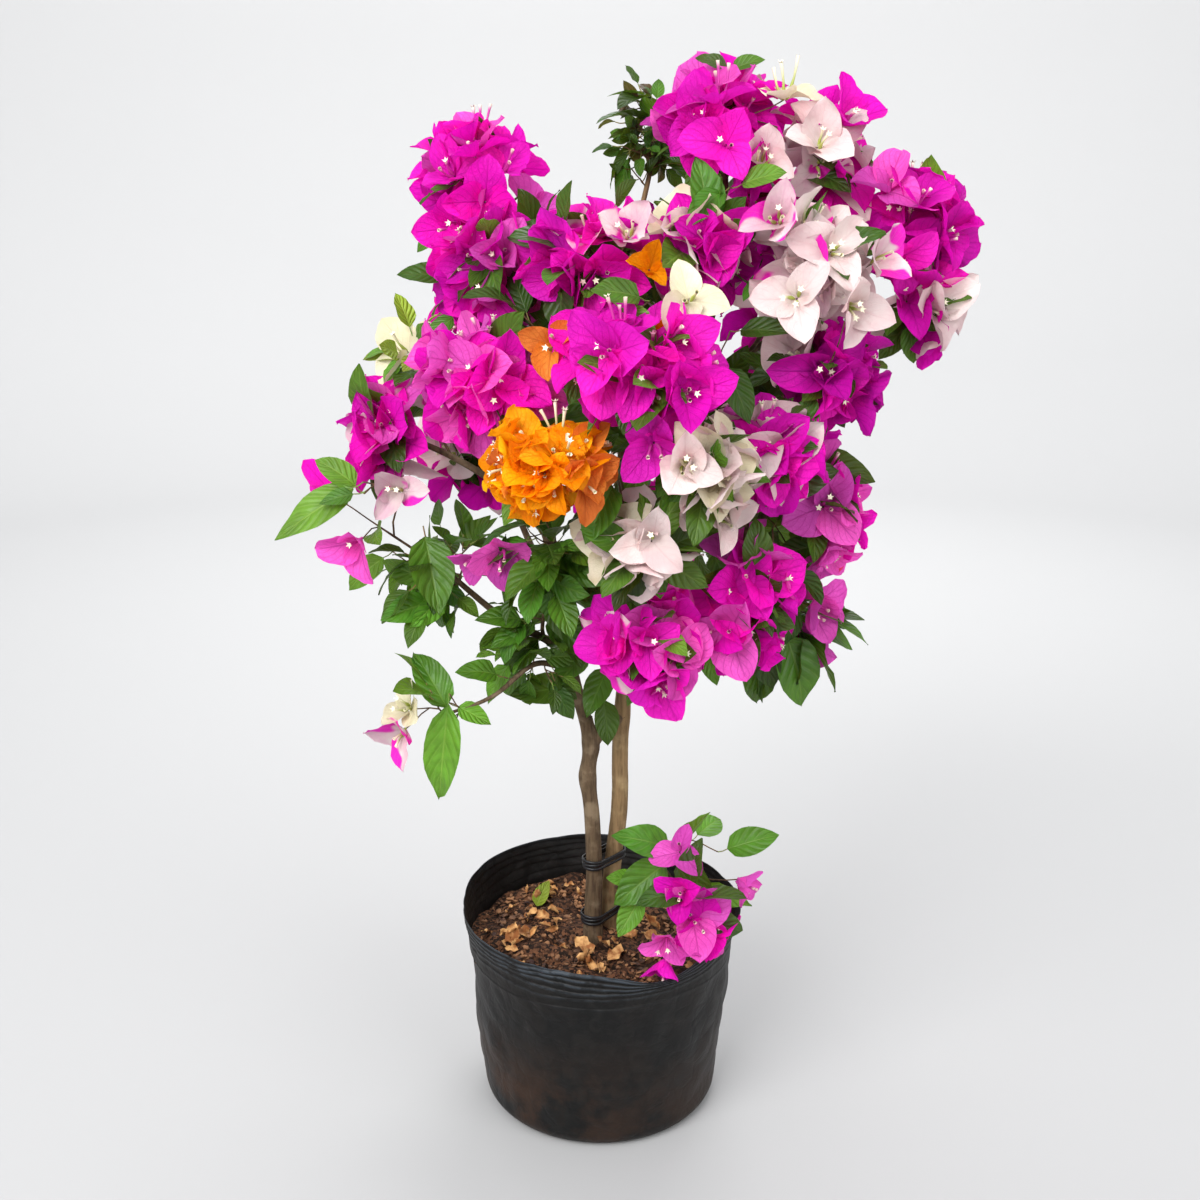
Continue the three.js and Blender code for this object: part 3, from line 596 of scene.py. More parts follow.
def potting_mix():
    """Damp potting mix: crumbs of compost and coir. It gives a matt dark brown with red-brown and
    black crumbs a few millimetres across."""
    paint = Paint("damp_potting_mix")
    place = paint.place()
    cells = paint.add("TexVoronoi", {"Vector": place, "Scale": 420.0}).outputs["Color"]
    crumb = paint.add("SeparateColor", {0: cells}).outputs[0]
    body = paint.mix(paint.ramp(crumb, 0.2, 0.95), "#1c120c", "#6a4630")
    body = paint.patches(body, paint.noise(place, 30.0, 5.0), 0.45, 0.65, 0.6, "#2a1a12")
    return paint.finish(paint.skin(body, 0.92, 0.2, (0.9, 0.003, crumb)))


def studio_paper():
    """Seamless paper for the floor and backdrop: matt off-white, a little lighter away from the middle."""
    paint = Paint("studio_paper")
    away = paint.add("VectorMath", {0: paint.place()}, operation="LENGTH").outputs["Value"]
    return paint.finish(paint.skin(paint.mix(paint.ramp(away, 1.2, 4.4), "#b0b0b0", "#bdbdbd"), 0.9, 0.1))


LEAF_PAINT = {
    "dark": leaf_blade("leaf_dark_green", "#335414", "#64843a", 0.42),
    "mid": leaf_blade("leaf_mid_green", "#4a7a1e", "#84a448", 0.44),
    "fresh": leaf_blade("leaf_fresh_green", "#659628", "#a0c058", 0.46),
    "bronze": leaf_blade("leaf_unfolding_bronze", "#5a3a24", "#8a5c3c", 0.45),
    "young": leaf_blade("leaf_young_yellow_green", "#a0b838", "#ccd878", 0.5),
}
PALE = {"through_share": 0.25, "crease": 0.4}
BRACT_PAINT = {
    "magenta": bract_paper("bract_magenta", "#fa12cc", "#c20a98"),
    "hot": bract_paper("bract_bright_magenta", "#ff22d4", "#d210aa"),
    "orchid": bract_paper("bract_orchid", "#f862d4", "#d038a6", veins_show=0.55),
    "purple": bract_paper("bract_purple", "#dc0fb4", "#9a0c88"),
    "coral": bract_paper("bract_coral_pink", "#f5588c", "#d02a72"),
    "blush": bract_paper("bract_blush_white", "#e8d8d5", "#dca2a8", veins_show=0.14, **PALE),
    "cream": bract_paper("bract_cream", "#e8e0c6", "#ccc08c", veins_show=0.16, **PALE),
    "bicolour": bract_paper("bract_white_and_magenta", "#ecdad8", "#dc84b4", veins_show=0.18, margin="#f022bc",
                            **PALE),
    "amber": bract_paper("bract_amber", "#ffa000", "#e46c00", veins_show=0.3),
    "gold": bract_paper("bract_golden_yellow", "#ffb60a", "#f08a00", veins_show=0.25),
    "peach": bract_paper("bract_peach", "#f8983a", "#e06a30", veins_show=0.4),
}
BRACT_SLOT = {"blush": "blush_bracts", "cream": "blush_bracts", "bicolour": "blush_bracts",
              "amber": "amber_bracts", "gold": "amber_bracts", "peach": "amber_bracts"}

# ---------------------------------------------------------------- leaves, bracts, flowers


def ovate(v, base, tip, start):
    """Half breadth of a blade from base to tip: start + v^base (1-v)^tip, made 1 at its widest."""
    w = v ** base * (1 - v) ** tip
    peak = base / (base + tip)
    return start * (1 - v) ** 2 + w / (peak ** base * (1 - peak) ** tip)


def blades(foot, along, face, length, breadth, outline, bend, fold, wave, ripple, twist, rows, columns):
    """A blade for each foot. Its centreline is an arc that bends away from its face; its width follows
    the outline; its two halves fold up from the midrib, more to the margin, and the margin waves."""
    n = len(foot)
    v = np.linspace(0, 1, rows)[None, :, None]
    u = np.linspace(-1, 1, columns)[None, None, :]
    length, breadth, bend, fold, wave, ripple, twist = (
        np.broadcast_to(np.asarray(a, float), n)[:, None, None]
        for a in (length, breadth, bend, fold, wave, ripple, twist))
    foot, along, face = foot[:, None, None], along[:, None, None], face[:, None, None]
    arc = bend * v + 1e-6
    run = np.sin(arc) / (bend + 1e-6) * length
    drop = (1 - np.cos(arc)) / (bend + 1e-6) * length
    half = length * breadth / 2 * ovate(v, *outline)
    turn = fold * (1 - 0.4 * v) * (0.4 + 0.8 * np.abs(u)) * np.sign(u) + twist * v
    out = np.abs(u) * half
    side = np.cos(turn) * out * np.sign(u)
    lift = np.sin(turn) * out * np.sign(u)
    lift = lift + wave * length * u ** 2 * np.sin(2 * math.pi * (1.9 * v + 0.25 * u) + ripple)
    lift = lift + 0.3 * wave * length * np.abs(u) * np.sin(2 * math.pi * 4.3 * v + 2 * ripple + 2 * u)
    above = np.sin(arc)[..., None] * along + np.cos(arc)[..., None] * face
    middle = foot + run[..., None] * along - drop[..., None] * face
    points = middle + side[..., None] * np.cross(along, face) + lift[..., None] * above
    faces = repeated(grid_faces(rows, columns), n, rows * columns)
    uu, vv = np.broadcast_arrays((u[0] + 1) / 2, v[0])
    own = np.tile(np.stack([uu, vv], axis=-1).reshape(-1, 2), (n, 1))
    return points.reshape(-1, 3), faces, {"OFBake": atlas(n, uu, vv), "blade": own}


def stalks(start, end, radius, sag):
    """A thin four-sided stalk from each start to each end, its middle raised by sag, narrowing a little."""
    sides, rings = 4, 3
    one = square_to(unit(end - start), ANY_SIDE)
    ring = spokes(one, np.cross(unit(end - start), one), sides)
    t = np.linspace(0, 1, rings)[None, :, None]
    middle = start[:, None] + (end - start)[:, None] * t + UP * (sag * 4 * t * (1 - t))
    points = middle[:, :, None] + radius * (1 - 0.25 * t[..., None]) * ring[:, None]
    return points.reshape(-1, 3), repeated(grid_faces(rings, sides, wrap=True), len(start), rings * sides)


def flowers(foot, axis, length, rng):
    """A tube with a star for each foot: a ring of five sides carried along the axis, waisted above a
    swollen foot and flared at the mouth, and a ten-pointed rim round a centre, five points out."""
    n = len(foot)
    sides, points_out = 5, 10
    one = square_to(axis, unit(rng.normal(size=(n, 3))))
    two = np.cross(axis, one)
    bow = unit(rng.normal(size=(n, 3))) * FLOWER_BOW
    t = FLOWER_SHAPE[:, 0][None, :, None]
    middle = foot[:, None] + axis[:, None] * t * length[:, None, None] + bow[:, None] * (4 * t * (1 - t))
    girth = (FLOWER_SHAPE[:, 1] * FLOWER_RADIUS)[None, :, None, None]
    tube = (middle[:, :, None] + spokes(one, two, sides)[:, None] * girth).reshape(-1, 3)
    tube_faces = repeated(grid_faces(len(FLOWER_SHAPE), sides, wrap=True), n, len(FLOWER_SHAPE) * sides)
    tube_uv = np.tile(np.stack(np.broadcast_arrays(np.arange(sides)[None] / sides, FLOWER_SHAPE[:, :1]),
                               axis=-1).reshape(-1, 2), (n, 1))
    is_open = rng.random(n) < OPEN_FLOWERS
    top, up, side, other = (x[is_open] for x in (foot + axis * length[:, None], axis, one, two))
    k = np.arange(points_out)
    reach = np.where(k % 2 == 0, 1.0, 0.5) * STAR_RADIUS
    cupped = 0.0008 * np.cos(5 * 2 * math.pi * k / points_out) + 0.0006
    rim = top[:, None] + spokes(side, other, points_out) * reach[:, None] + up[:, None] * cupped[:, None]
    star = np.concatenate([top[:, None], rim], axis=1).reshape(-1, 3)
    star_faces = repeated(fan(0, 1, points_out), len(top), points_out + 1) + len(tube)
    star_uv = np.full((len(star), 2), 1.0)
    return np.vstack([tube, star]), [tube_faces, star_faces], {"blade": np.vstack([tube_uv, star_uv])}


# ---------------------------------------------------------------- growth of the crown


class Skeleton:
    """Points of all wood: where each is, which it grew from, and how far along it is from the soil."""

    def __init__(self):
        self.spot, self.parent, self.path, self.limb = [], [], [], []

    def grow(self, start, route, limb=False):
        """Adds a route after the point start and returns the index of its last point."""
        last = start
        for p in route:
            step = 0 if last < 0 else float(np.linalg.norm(p - self.spot[last]))
            self.spot.append(p)
            self.path.append((0 if last < 0 else self.path[last]) + step)
            self.parent.append(last)
            self.limb.append(limb)
            last = len(self.spot) - 1
        return last

    def heading(self, node):
        """The way the wood runs into a point."""
        return unit(self.spot[node] - self.spot[self.parent[node]])

    def nearest(self, target, bias):
        """The point with the least distance to target plus bias times its own way from the soil."""
        spot = np.array(self.spot)
        return int(np.argmin(np.linalg.norm(spot - target, axis=1) + bias * np.array(self.path)))

    def reach(self, target, rng, bias=0.35):
        """Grows a bowed twig from the best point to the target: a cubic that leaves along its parent."""
        start = self.nearest(target, bias)
        here = self.spot[start]
        span = target - here
        distance = np.linalg.norm(span)
        if distance < 1e-4:
            return start
        before = here - self.spot[self.parent[start]] if self.parent[start] >= 0 else span
        lead = unit(unit(before) * 0.8 + unit(span)) * distance * 0.8
        land = unit(unit(span) + 0.25 * UP + rng.normal(size=3) * 0.15) * distance * 0.8
        t = np.linspace(0, 1, max(3, int(distance / TWIG_STEP)) + 1)[1:, None]
        route = ((2 * t ** 3 - 3 * t ** 2 + 1) * here + (t ** 3 - 2 * t ** 2 + t) * lead
                 + (3 * t ** 2 - 2 * t ** 3) * target + (t ** 3 - t ** 2) * land)
        return self.grow(start, route)


def spread(count, outward, least, rng):
    """Directions over the side of a ball that looks outward: golden-angle spiral with a little chance."""
    total = max(count * 3, 12)
    i = np.arange(total) + 0.5
    height = 1 - 2 * i / total
    turn = i * math.pi * (3 - math.sqrt(5)) + rng.random() * AROUND
    ring = np.sqrt(1 - height ** 2)
    ball = np.stack([ring * np.cos(turn), ring * np.sin(turn), height], axis=1)
    ball = unit(ball + rng.normal(size=ball.shape) * 0.16)
    kept = ball[ball @ outward > least]
    return kept[np.linspace(0, len(kept) - 1, count).round().astype(int)]


def dealt(shares, count, rng):
    """count names drawn in proportion to their shares."""
    names = list(shares)
    weight = np.array([shares[k] for k in names], float)
    return [names[i] for i in rng.choice(len(names), count, p=weight / weight.sum())]


class Harvest:
    """What grows: rows of leaves by tint, of bracts by colour, of flower tubes, and of stalks."""

    def __init__(self):
        self.leaves, self.bracts, self.tubes, self.petioles = {}, {}, [], []

    def leaf(self, tint, joint, **row):
        """One leaf, with a stalk from its joint on the twig."""
        if joint is not None:
            self.petioles.append((joint, row["foot"]))
        self.leaves.setdefault(tint, []).append(row)

    def bract(self, colour, **row):
        """One bract."""
        self.bracts.setdefault(colour, []).append(row)


def triplet(crop, foot, axis, size, colour, rng, opening=None):
    """Three bracts round an axis a third of a turn apart, each leaning out by the opening angle, with
    up to three flower tubes inside them: all three, and longer, where the bloom looks straight up."""
    one = square_to(axis, rng.normal(size=3))
    two = np.cross(axis, one)
    start = rng.random() * 2 * math.pi
    opening = rng.uniform(0.6, 1.2) if opening is None else opening
    upright = axis[2] > UPRIGHT
    for k in range(3):
        angle = start + k * 2 * math.pi / 3 + rng.normal() * 0.12
        out = math.cos(angle) * one + math.sin(angle) * two
        lean = opening + rng.normal() * 0.1
        crop.bract(colour, foot=foot + out * 0.001, along=axis * math.cos(lean) + out * math.sin(lean),
                   face=axis * math.sin(lean) - out * math.cos(lean), length=size * rng.uniform(0.92, 1.08),
                   shade=rng.random())
        if upright or rng.random() < TUBE_CHANCE.get(colour, 0.65):
            way = unit(axis + out * rng.uniform(0.1, 0.3) + rng.normal(size=3) * 0.05)
            length = FLOWER_LENGTH * rng.uniform(0.8, 1.15) * (UPRIGHT_TUBE if upright else 1.0)
            crop.tubes.append((foot + out * 0.002, way, length, colour))


def leaf_spray(crop, wood, tip, outward, count, size, tints, rng):
    """Leaves back along a twig from its tip, one or two joints apart and turned by the golden angle,
    each on its stalk with its face up and out to the light."""
    tint = dealt(tints, 1, rng)[0]
    start, node = rng.random() * AROUND, tip
    for k in range(count):
        back = wood.parent[node]
        if back < 0 or wood.limb[node]:
            break
        head = wood.heading(node)
        one = square_to(head, np.array([0.2, 0.1, 1.0]))
        side = math.cos(start + k * GOLDEN) * one + math.sin(start + k * GOLDEN) * np.cross(head, one)
        lean = rng.uniform(0.8, 1.3) if k else 0.3
        along = unit(head * math.cos(lean) + side * math.sin(lean) + outward * 0.35 - 0.22 * UP)
        face = square_to(along, LIGHT + outward * 0.7 + rng.normal(size=3) * 0.28)
        length = size * rng.uniform(*LEAF_LENGTH) * (1 if k else 0.8)
        crop.leaf(tint, wood.spot[node], foot=wood.spot[node] + along * 0.009, along=along, face=face,
                  length=length, shade=rng.random())
        node = wood.parent[back] if rng.random() < 0.4 and wood.parent[back] >= 0 else back


def grow_mass(name, crop, wood, rng):
    """One mass: a bough to its middle, then twigs to clusters of bracts on its outer side, and leafy
    twigs between and below them."""
    clusters, sprays, colours, tints = MASSES[name]
    low, high = (np.array(c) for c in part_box(name))
    middle, half = (low + high) / 2, (high - low) / 2
    outward = unit(middle - CORE - UP * np.clip(middle[2], CORE_LOW, CORE_HIGH))
    wood.reach(middle - outward * half * 0.3, rng, bias=0.6)
    inner = np.maximum(half - BRACT_INSET, half * 0.25)
    for d, colour in zip(spread(clusters, outward, -0.35, rng), dealt(colours, clusters, rng)):
        tip = wood.reach(middle + d * inner * rng.uniform(0.65, 1.1), rng)
        axis = unit(d + outward * 0.25 + np.array([0, -0.1, 0.15]) + rng.normal(size=3) * 0.25)
        size = SMALL_BRACTS.get(name, 1.0) * rng.uniform(*BRACT_LENGTH)
        triplet(crop, wood.spot[tip], axis, size, colour, rng)
    leafy = clusters < 5
    size = SMALL_LEAVES.get(name, 1.0 if leafy else 0.72)
    for d in spread(sprays, outward, -0.9 if leafy else -0.4, rng):
        if leafy:
            reach = half * rng.uniform(0.15, 0.72)
        else:
            reach = np.maximum(half - LEAF_INSET, half * 0.3) * rng.uniform(0.3, 0.75)
        tip = wood.reach(middle + d * reach, rng)
        leaf_spray(crop, wood, tip, d, int(rng.integers(2, 4) if leafy else rng.integers(3, 6)), size, tints, rng)


def grow_side_leaves(crop, wood, rng):
    """Single leaves along the twigs: at chance joints three or more short of a tip, square to the twig,
    out from the crown's middle and a little down. The tight amber head has none."""
    low, high = (np.array(c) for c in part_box("amber_front"))
    ahead = np.zeros(len(wood.spot), int)
    for node in range(len(wood.spot) - 1, 0, -1):
        back, spot = wood.parent[node], wood.spot[node]
        ahead[back] = max(ahead[back], ahead[node] + 1)
        if back < 0 or wood.limb[node] or ahead[node] < 3 or rng.random() > SIDE_LEAF_SHARE:
            continue
        if np.all(spot > low) and np.all(spot < high):
            continue
        outward = unit(spot - np.array([0.02, 0.01, min(max(spot[2], 0.5), 0.8)]))
        along = unit(square_to(wood.heading(node), rng.normal(size=3)) + outward * 0.5 - 0.3 * UP)
        face = square_to(along, LIGHT + outward * 0.6 + rng.normal(size=3) * 0.3)
        crop.leaf(dealt(GREEN, 1, rng)[0], spot, foot=spot + along * 0.008, along=along, face=face,
                  length=rng.uniform(*SIDE_LEAF_LENGTH), shade=rng.random())


def grow_heart(crop, wood, rng):
    """Dark leaves inside the crown, on twigs to chance places round its middle line."""
    for _ in range(HEART_SPRAYS):
        tip = wood.reach(HEART + rng.uniform(-1, 1, 3) * HEART_REACH, rng)
        leaf_spray(crop, wood, tip, unit(rng.normal(size=3)), 4, 0.9, DARK, rng)


def grow_chosen(crop, wood, rng):
    """The blooms and leaves placed one by one, each on a twig of its own, and a seedling on the soil."""
    for place, facing, size, colour in BLOOMS:
        tip = wood.reach(np.array(place) * MM, rng)
        triplet(crop, wood.spot[tip], unit(np.array(facing, float)), CHOSEN_SIZE * size * MM, colour, rng,
                rng.uniform(0.6, 0.95) if facing[2] < 0.8 else 1.15)
    for place, heading, size, tint in LEAVES:
        along = unit(np.array(heading, float))
        foot = np.array(place) * MM
        tip = wood.reach(foot - along * 0.01, rng)
        crop.leaf(tint, wood.spot[tip], foot=foot, along=along, face=square_to(along, np.array([0.1, -0.75, 0.65])),
                  length=size * MM, shade=rng.uniform(0.4, 0.9), slim=SLIM if size > LONG_LEAF else 1.0)
    along = unit(np.array([0.3, 0.1, 0.9]))
    crop.leaf("young", None, foot=np.array([-0.066, 0.05, 0.17]), along=along,
              face=square_to(along, np.array([-0.4, -0.8, 0])), length=0.03, shade=0.5)


def grow_crown():
    """All wood and all that it bears: the limbs first, each from the one it starts on, then the masses."""
    wood, crop = Skeleton(), Harvest()
    for name, (route, *_) in LIMBS.items():
        points = smooth_route(np.array(route) * MM, 0.012)
        start = -1 if name.startswith("stem") else wood.nearest(points[0], 0.0)
        wood.grow(start, points if start < 0 else points[1:], limb=True)
    for i, name in enumerate(MASSES):
        grow_mass(name, crop, wood, chance("masses", i))
    grow_heart(crop, wood, chance("heart"))
    grow_side_leaves(crop, wood, chance("side leaves"))
    grow_chosen(crop, wood, chance("chosen"))
    return wood, crop


def slot_of(node):
    """The material slot of a part of the frame."""
    return next(s["material_slot"] for s in frame["record"]["subparts"] if s["node"] == node)


def make_blades(kind, crop_rows, paints, rng):
    """One piece of leaves or of bracts for each colour, in place of the masses of its slot."""
    breadth, widths, bends, folds, waves, outline, along, across = BLADES[kind]
    for colour, rows in crop_rows.items():
        n = len(rows)
        slot = "leaves" if kind == "leaves" else BRACT_SLOT.get(colour, "magenta_bracts")
        masses = [m for m in frame["nodes"] if m in MASSES and slot_of(m) == slot]
        foot, way, face, length, shade = (np.array([r[k] for r in rows], float)
                                          for k in ("foot", "along", "face", "length", "shade"))
        slim = np.array([r.get("slim", 1.0) for r in rows])
        points, faces, maps = blades(
            foot, way, face, length, breadth * rng.uniform(*widths, n) * slim, outline, rng.uniform(*bends, n),
            rng.uniform(*folds, n), RUFFLED.get(slot, 1.0) * rng.uniform(*waves, n), rng.uniform(0, AROUND, n),
            rng.normal(0, 0.25, n), along, across)
        piece(kind + "_" + colour, points, [faces], paints[colour], slot, masses, maps,
              np.repeat(shade, along * across))


def make_flowers(crop, rng):
    """Rosy tubes in the coloured bracts, and cream tubes with a green foot in the pale and amber ones."""
    for name, pale, foot, low, high, slot in (("flowers_rosy", False, "#c23c9c", 0.8, 1.0, "magenta_bracts"),
                                              ("flowers_cream", True, "#a2b04e", 0.3, 1.0, "blush_bracts")):
        rows = [t for t in crop.tubes if (t[3] in BRACT_SLOT) == pale]
        points, faces, maps = flowers(*(np.array([t[i] for t in rows]) for i in range(3)), rng)
        piece(name, points, faces, flower_tube(name + "_wax", "#f4eed2", foot, low, high), slot, (), maps)


def make_wood(wood, crop):
    """Twigs as tapering tubes: each point's radius grows with the root of the tips beyond it."""
    parent = np.array(wood.parent)
    load = np.ones(len(parent)) * 0.12
    for i in range(len(parent) - 1, -1, -1):
        if parent[i] >= 0:
            load[parent[i]] += load[i]
    spot, is_limb = np.array(wood.spot), np.array(wood.limb)
    radius = TWIG_RADIUS * np.clip(load, 0.6, 14) ** 0.42
    ends = np.flatnonzero(~is_limb & (parent >= 0))
    back = parent[ends]
    joint = np.where(is_limb[back], radius[ends], radius[back])
    along = unit(spot[ends] - spot[back])
    before = np.where(((parent[back] >= 0) & ~is_limb[back])[:, None],
                      unit(spot[back] - spot[np.maximum(parent[back], 0)]), along)
    sides, rings = 6, []
    for middle, size, way in ((spot[back], joint, unit(before + along)), (spot[ends], radius[ends], along)):
        one = square_to(way, ANY_SIDE)
        rings.append(middle[:, None] + size[:, None, None] * spokes(one, np.cross(way, one), sides))
    points = np.stack(rings, axis=1).reshape(-1, 3)
    faces = repeated(grid_faces(2, sides, wrap=True), len(ends), 2 * sides)
    piece("twigs", points, [faces], plain_skin("twig_bark", "#4a3324", "#6e5638", 6, 0.8), "grey_bark")
    feet = np.array(crop.petioles)
    points, faces = stalks(feet[:, 0], feet[:, 1], PETIOLE_RADIUS, -0.0008)
    piece("leaf_stalks", points, [faces], plain_skin("leaf_stalk_green", "#6b8a3a", "#8a6a3e", 20, 0.55), "leaves")


def relief(turn, way, strength, rng):
    """Bark ridges: waves round the stem whose phase wanders along it, and slow swellings."""
    total = np.zeros(np.broadcast(turn, way).shape)
    for k in (3, 5, 8, 12, 17):
        phase, drift = rng.uniform(0, AROUND, 2)
        wander = 1.3 * np.sin(way * rng.uniform(35, 90) + drift) + 0.7 * np.sin(way * rng.uniform(150, 260) + phase)
        total += np.abs(np.sin((k * turn + phase + wander) / 2)) * strength / k ** 0.4
    return total - strength


def bark_limb(name, rng):
    """A limb: rings of a round section carried along its route, the radius falling from root to tip
    with the flare and the swellings of its solid, and the bark's relief on it, closed at both ends."""
    route, root, tip, flare, knots = LIMBS[name]
    step, sides, strength = (0.0016, 48, 0.45) if name.startswith("stem") else (0.004, 18, 0.2)
    line = smooth_route(np.array(route) * MM, step)
    way = np.concatenate([[0], np.cumsum(np.linalg.norm(np.diff(line, axis=0), axis=1))])
    share = way / way[-1]
    radius = root + (tip - root) * share + flare * np.exp(-way / (16 * MM))
    for place, extra in knots:
        radius = radius + extra * np.exp(-(((share - place) * way[-1] / (12 * MM)) ** 2))
    turn = 2 * math.pi * np.arange(sides)[None] / sides
    side, other = carried_frames(line)
    r = (radius[:, None] + relief(turn, way[:, None], strength, rng)) * MM
    points = (line[:, None] + r[..., None] * spokes(side, other, sides)).reshape(-1, 3)
    ends = np.vstack([fan(len(points), 0, sides, turned=True),
                      fan(len(points) + 1, len(points) - sides, sides)])
    return np.vstack([points, line[:1], line[-1:]]), grid_faces(len(line), sides, wrap=True), ends


def make_limbs():
    """The stems and boughs, one piece for each kind of bark."""
    grey = bark("grey_brown_bark", "#62503c", "#3c2e22", "#8e7c64", 3.2)
    tan = bark("tan_bark", "#8a7150", "#5e4a32", "#a8926c", 3.6)
    for paint, names, label, slot in ((grey, [n for n in LIMBS if n not in TAN_LIMBS], "grey_boughs", "grey_bark"),
                                      (tan, list(TAN_LIMBS), "tan_stem", "tan_bark")):
        points, quads, ends, total = [], [], [], 0
        for i, name in enumerate(names):
            p, q, e = bark_limb(name, chance("limbs", i))
            points.append(p)
            quads.append(q + total)
            ends.append(e + total)
            total += len(p)
        piece(label, np.vstack(points), [np.vstack(quads), np.vstack(ends)], paint, slot, names)


# ---------------------------------------------------------------- bag, soil, ties


def hump(x, width):
    """1 where x is 0, falling away on both sides over the width: e to minus the square of x by width."""
    return np.exp(-((x / width) ** 2))


def rim_wave(angle):
    """How far the bag's mouth rises and leans out at an angle, as its solid does, in millimetres."""
    dip = hump(angle + 1.13, 0.32)
    lift = 5 * np.cos(angle - 2.6) - 11 * dip
    lean = 1.8 * np.cos(3 * angle + 0.6) + 1.2 * np.cos(5 * angle) + 2 * dip
    return lift, lean


def make_bag():
    """Film bag: a profile of wall radius by height, turned; folds and creases push the wall in and out.
    The crests of the folds and the rim carry a tint for a painted highlight, stronger at the front."""
    sides = 220
    arc = np.linspace(0, math.pi / 2, 14)
    heights = np.concatenate([np.linspace(BAG_WALL[0, 1], 150, 64)[1:], np.linspace(150, BAG_RIM, 94)[1:]])
    heel, heel_height = BAG_WALL[0]
    profile = np.vstack([
        np.stack([np.linspace(0, BAG_FOOT, 14), np.zeros(14)], axis=1)[1:-1],
        np.stack([BAG_FOOT + (heel - BAG_FOOT) * np.sin(arc), heel_height * (1 - np.cos(arc))], axis=1),
        np.stack([np.interp(heights, BAG_WALL[:, 1], BAG_WALL[:, 0]), heights], axis=1)])
    r, z = profile[:, :1], profile[:, 1:]
    a = ((np.arange(sides) / sides * 2 * math.pi + math.pi) % (2 * math.pi) - math.pi)[None]
    rng = chance("bag")
    crumple = np.zeros((len(profile), sides))
    for _ in range(26):
        around, up = rng.integers(2, 24), rng.uniform(0.01, 0.11)
        crumple += np.sin(around * a + up * z * rng.choice([-1, 1]) + rng.uniform(0, AROUND)) / (around * 0.5 + 3)
    crumple = np.abs(crumple) * 2 - 1.2
    front = 0.35 + 0.65 * np.clip(np.cos(a + 1.7), 0, 1)
    folds = np.zeros_like(crumple)
    for place, height in BAG_FOLDS:
        sway = 1.6 * np.sin(3 * a + place / 9) + 0.8 * np.sin(7 * a + place / 5)
        off = BAG_RIM - place + sway - z
        folds += height * np.where(off > 0, hump(off, 3.4), hump(off, 0.7)) * front
    # painted highlight: this tint, high on the fold crests and round the rim and more at the front, makes the film
    # bluish grey there
    crest_highlight_tint = np.clip(folds / 1.6, 0, 1) + hump(BAG_RIM - z, 2.5) * (0.4 + 0.6 * front)
    seam = 0.8 * hump((a + 1.83) * 120, 1.2) * np.clip((150 - z) / 60, 0, 1)
    sag = 1.1 * np.sin(2 * a + z / 40) + 0.8 * np.sin(3 * a - z / 25 + 1)
    calm = 1 - 0.75 * hump(z - 167, 9)
    on_wall = np.clip((z - 6) / 30, 0, 1)
    near_rim = np.maximum(0, (z - 172) / 34) ** 1.5
    lift, lean = rim_wave(a)
    wall = r + on_wall * (calm * (sag + 0.9 * crumple) + folds + seam) + near_rim * lean
    outer = turned_points(wall, z + near_rim * lift, a)
    inner = outer[::-1].copy()
    inner[..., :2] *= (1 - FILM / np.maximum(wall[::-1], 1))[..., None]
    inner[..., 2] = np.maximum(inner[..., 2], FILM)
    sheet = np.concatenate([outer, inner[:INSIDE_ROWS]])
    crest_highlight_tint = np.concatenate([crest_highlight_tint.ravel(), crest_highlight_tint[::-1][:INSIDE_ROWS].ravel(), [0.0]])
    points = sheet.reshape(-1, 3) * MM
    faces = [grid_faces(len(sheet), sides, wrap=True), fan(len(points), 0, sides, turned=True)]
    piece("bag", np.vstack([points, [[0, 0, 0.0]]]), faces, bag_film(), "bag_film", ["grow_bag"], tint=crest_highlight_tint)


def make_soil():
    """Soil: rings of a disc whose height is a sum of small waves, heaped a little at the stems."""
    rings, count = 70, 240
    share = np.linspace(0, 1, rings + 1)[1:, None]
    a = 2 * math.pi * np.arange(count)[None] / count
    rng = chance("soil")
    radius = 130.4 * share + 0 * a
    x, y = radius * np.cos(a), radius * np.sin(a)
    height = 167.2 + 3.0 * hump(radius, 40) - 2.2 * share ** 2
    for _ in range(40):
        size = rng.uniform(2.2, 22)
        way = rng.uniform(0, 2 * math.pi)
        height += size * 0.055 * np.sin((x * math.cos(way) + y * math.sin(way)) / size * 2 + rng.uniform(0, AROUND))
    points = np.vstack([turned_points(radius, height, a).reshape(-1, 3) * MM, [[0, 0, 0.1702]]])
    faces = [grid_faces(rings, count, wrap=True), fan(rings * count, 0, count)]
    piece("soil_top", points, faces, potting_mix(), "potting_soil", ["soil"])


def strewn(n, reach, rng):
    """x and y of n chance places on the soil, even over a disc of the radius reach in millimetres."""
    radius, angle = reach * np.sqrt(rng.random(n)), rng.uniform(0, 2 * math.pi, n)
    return radius * np.cos(angle), radius * np.sin(angle)


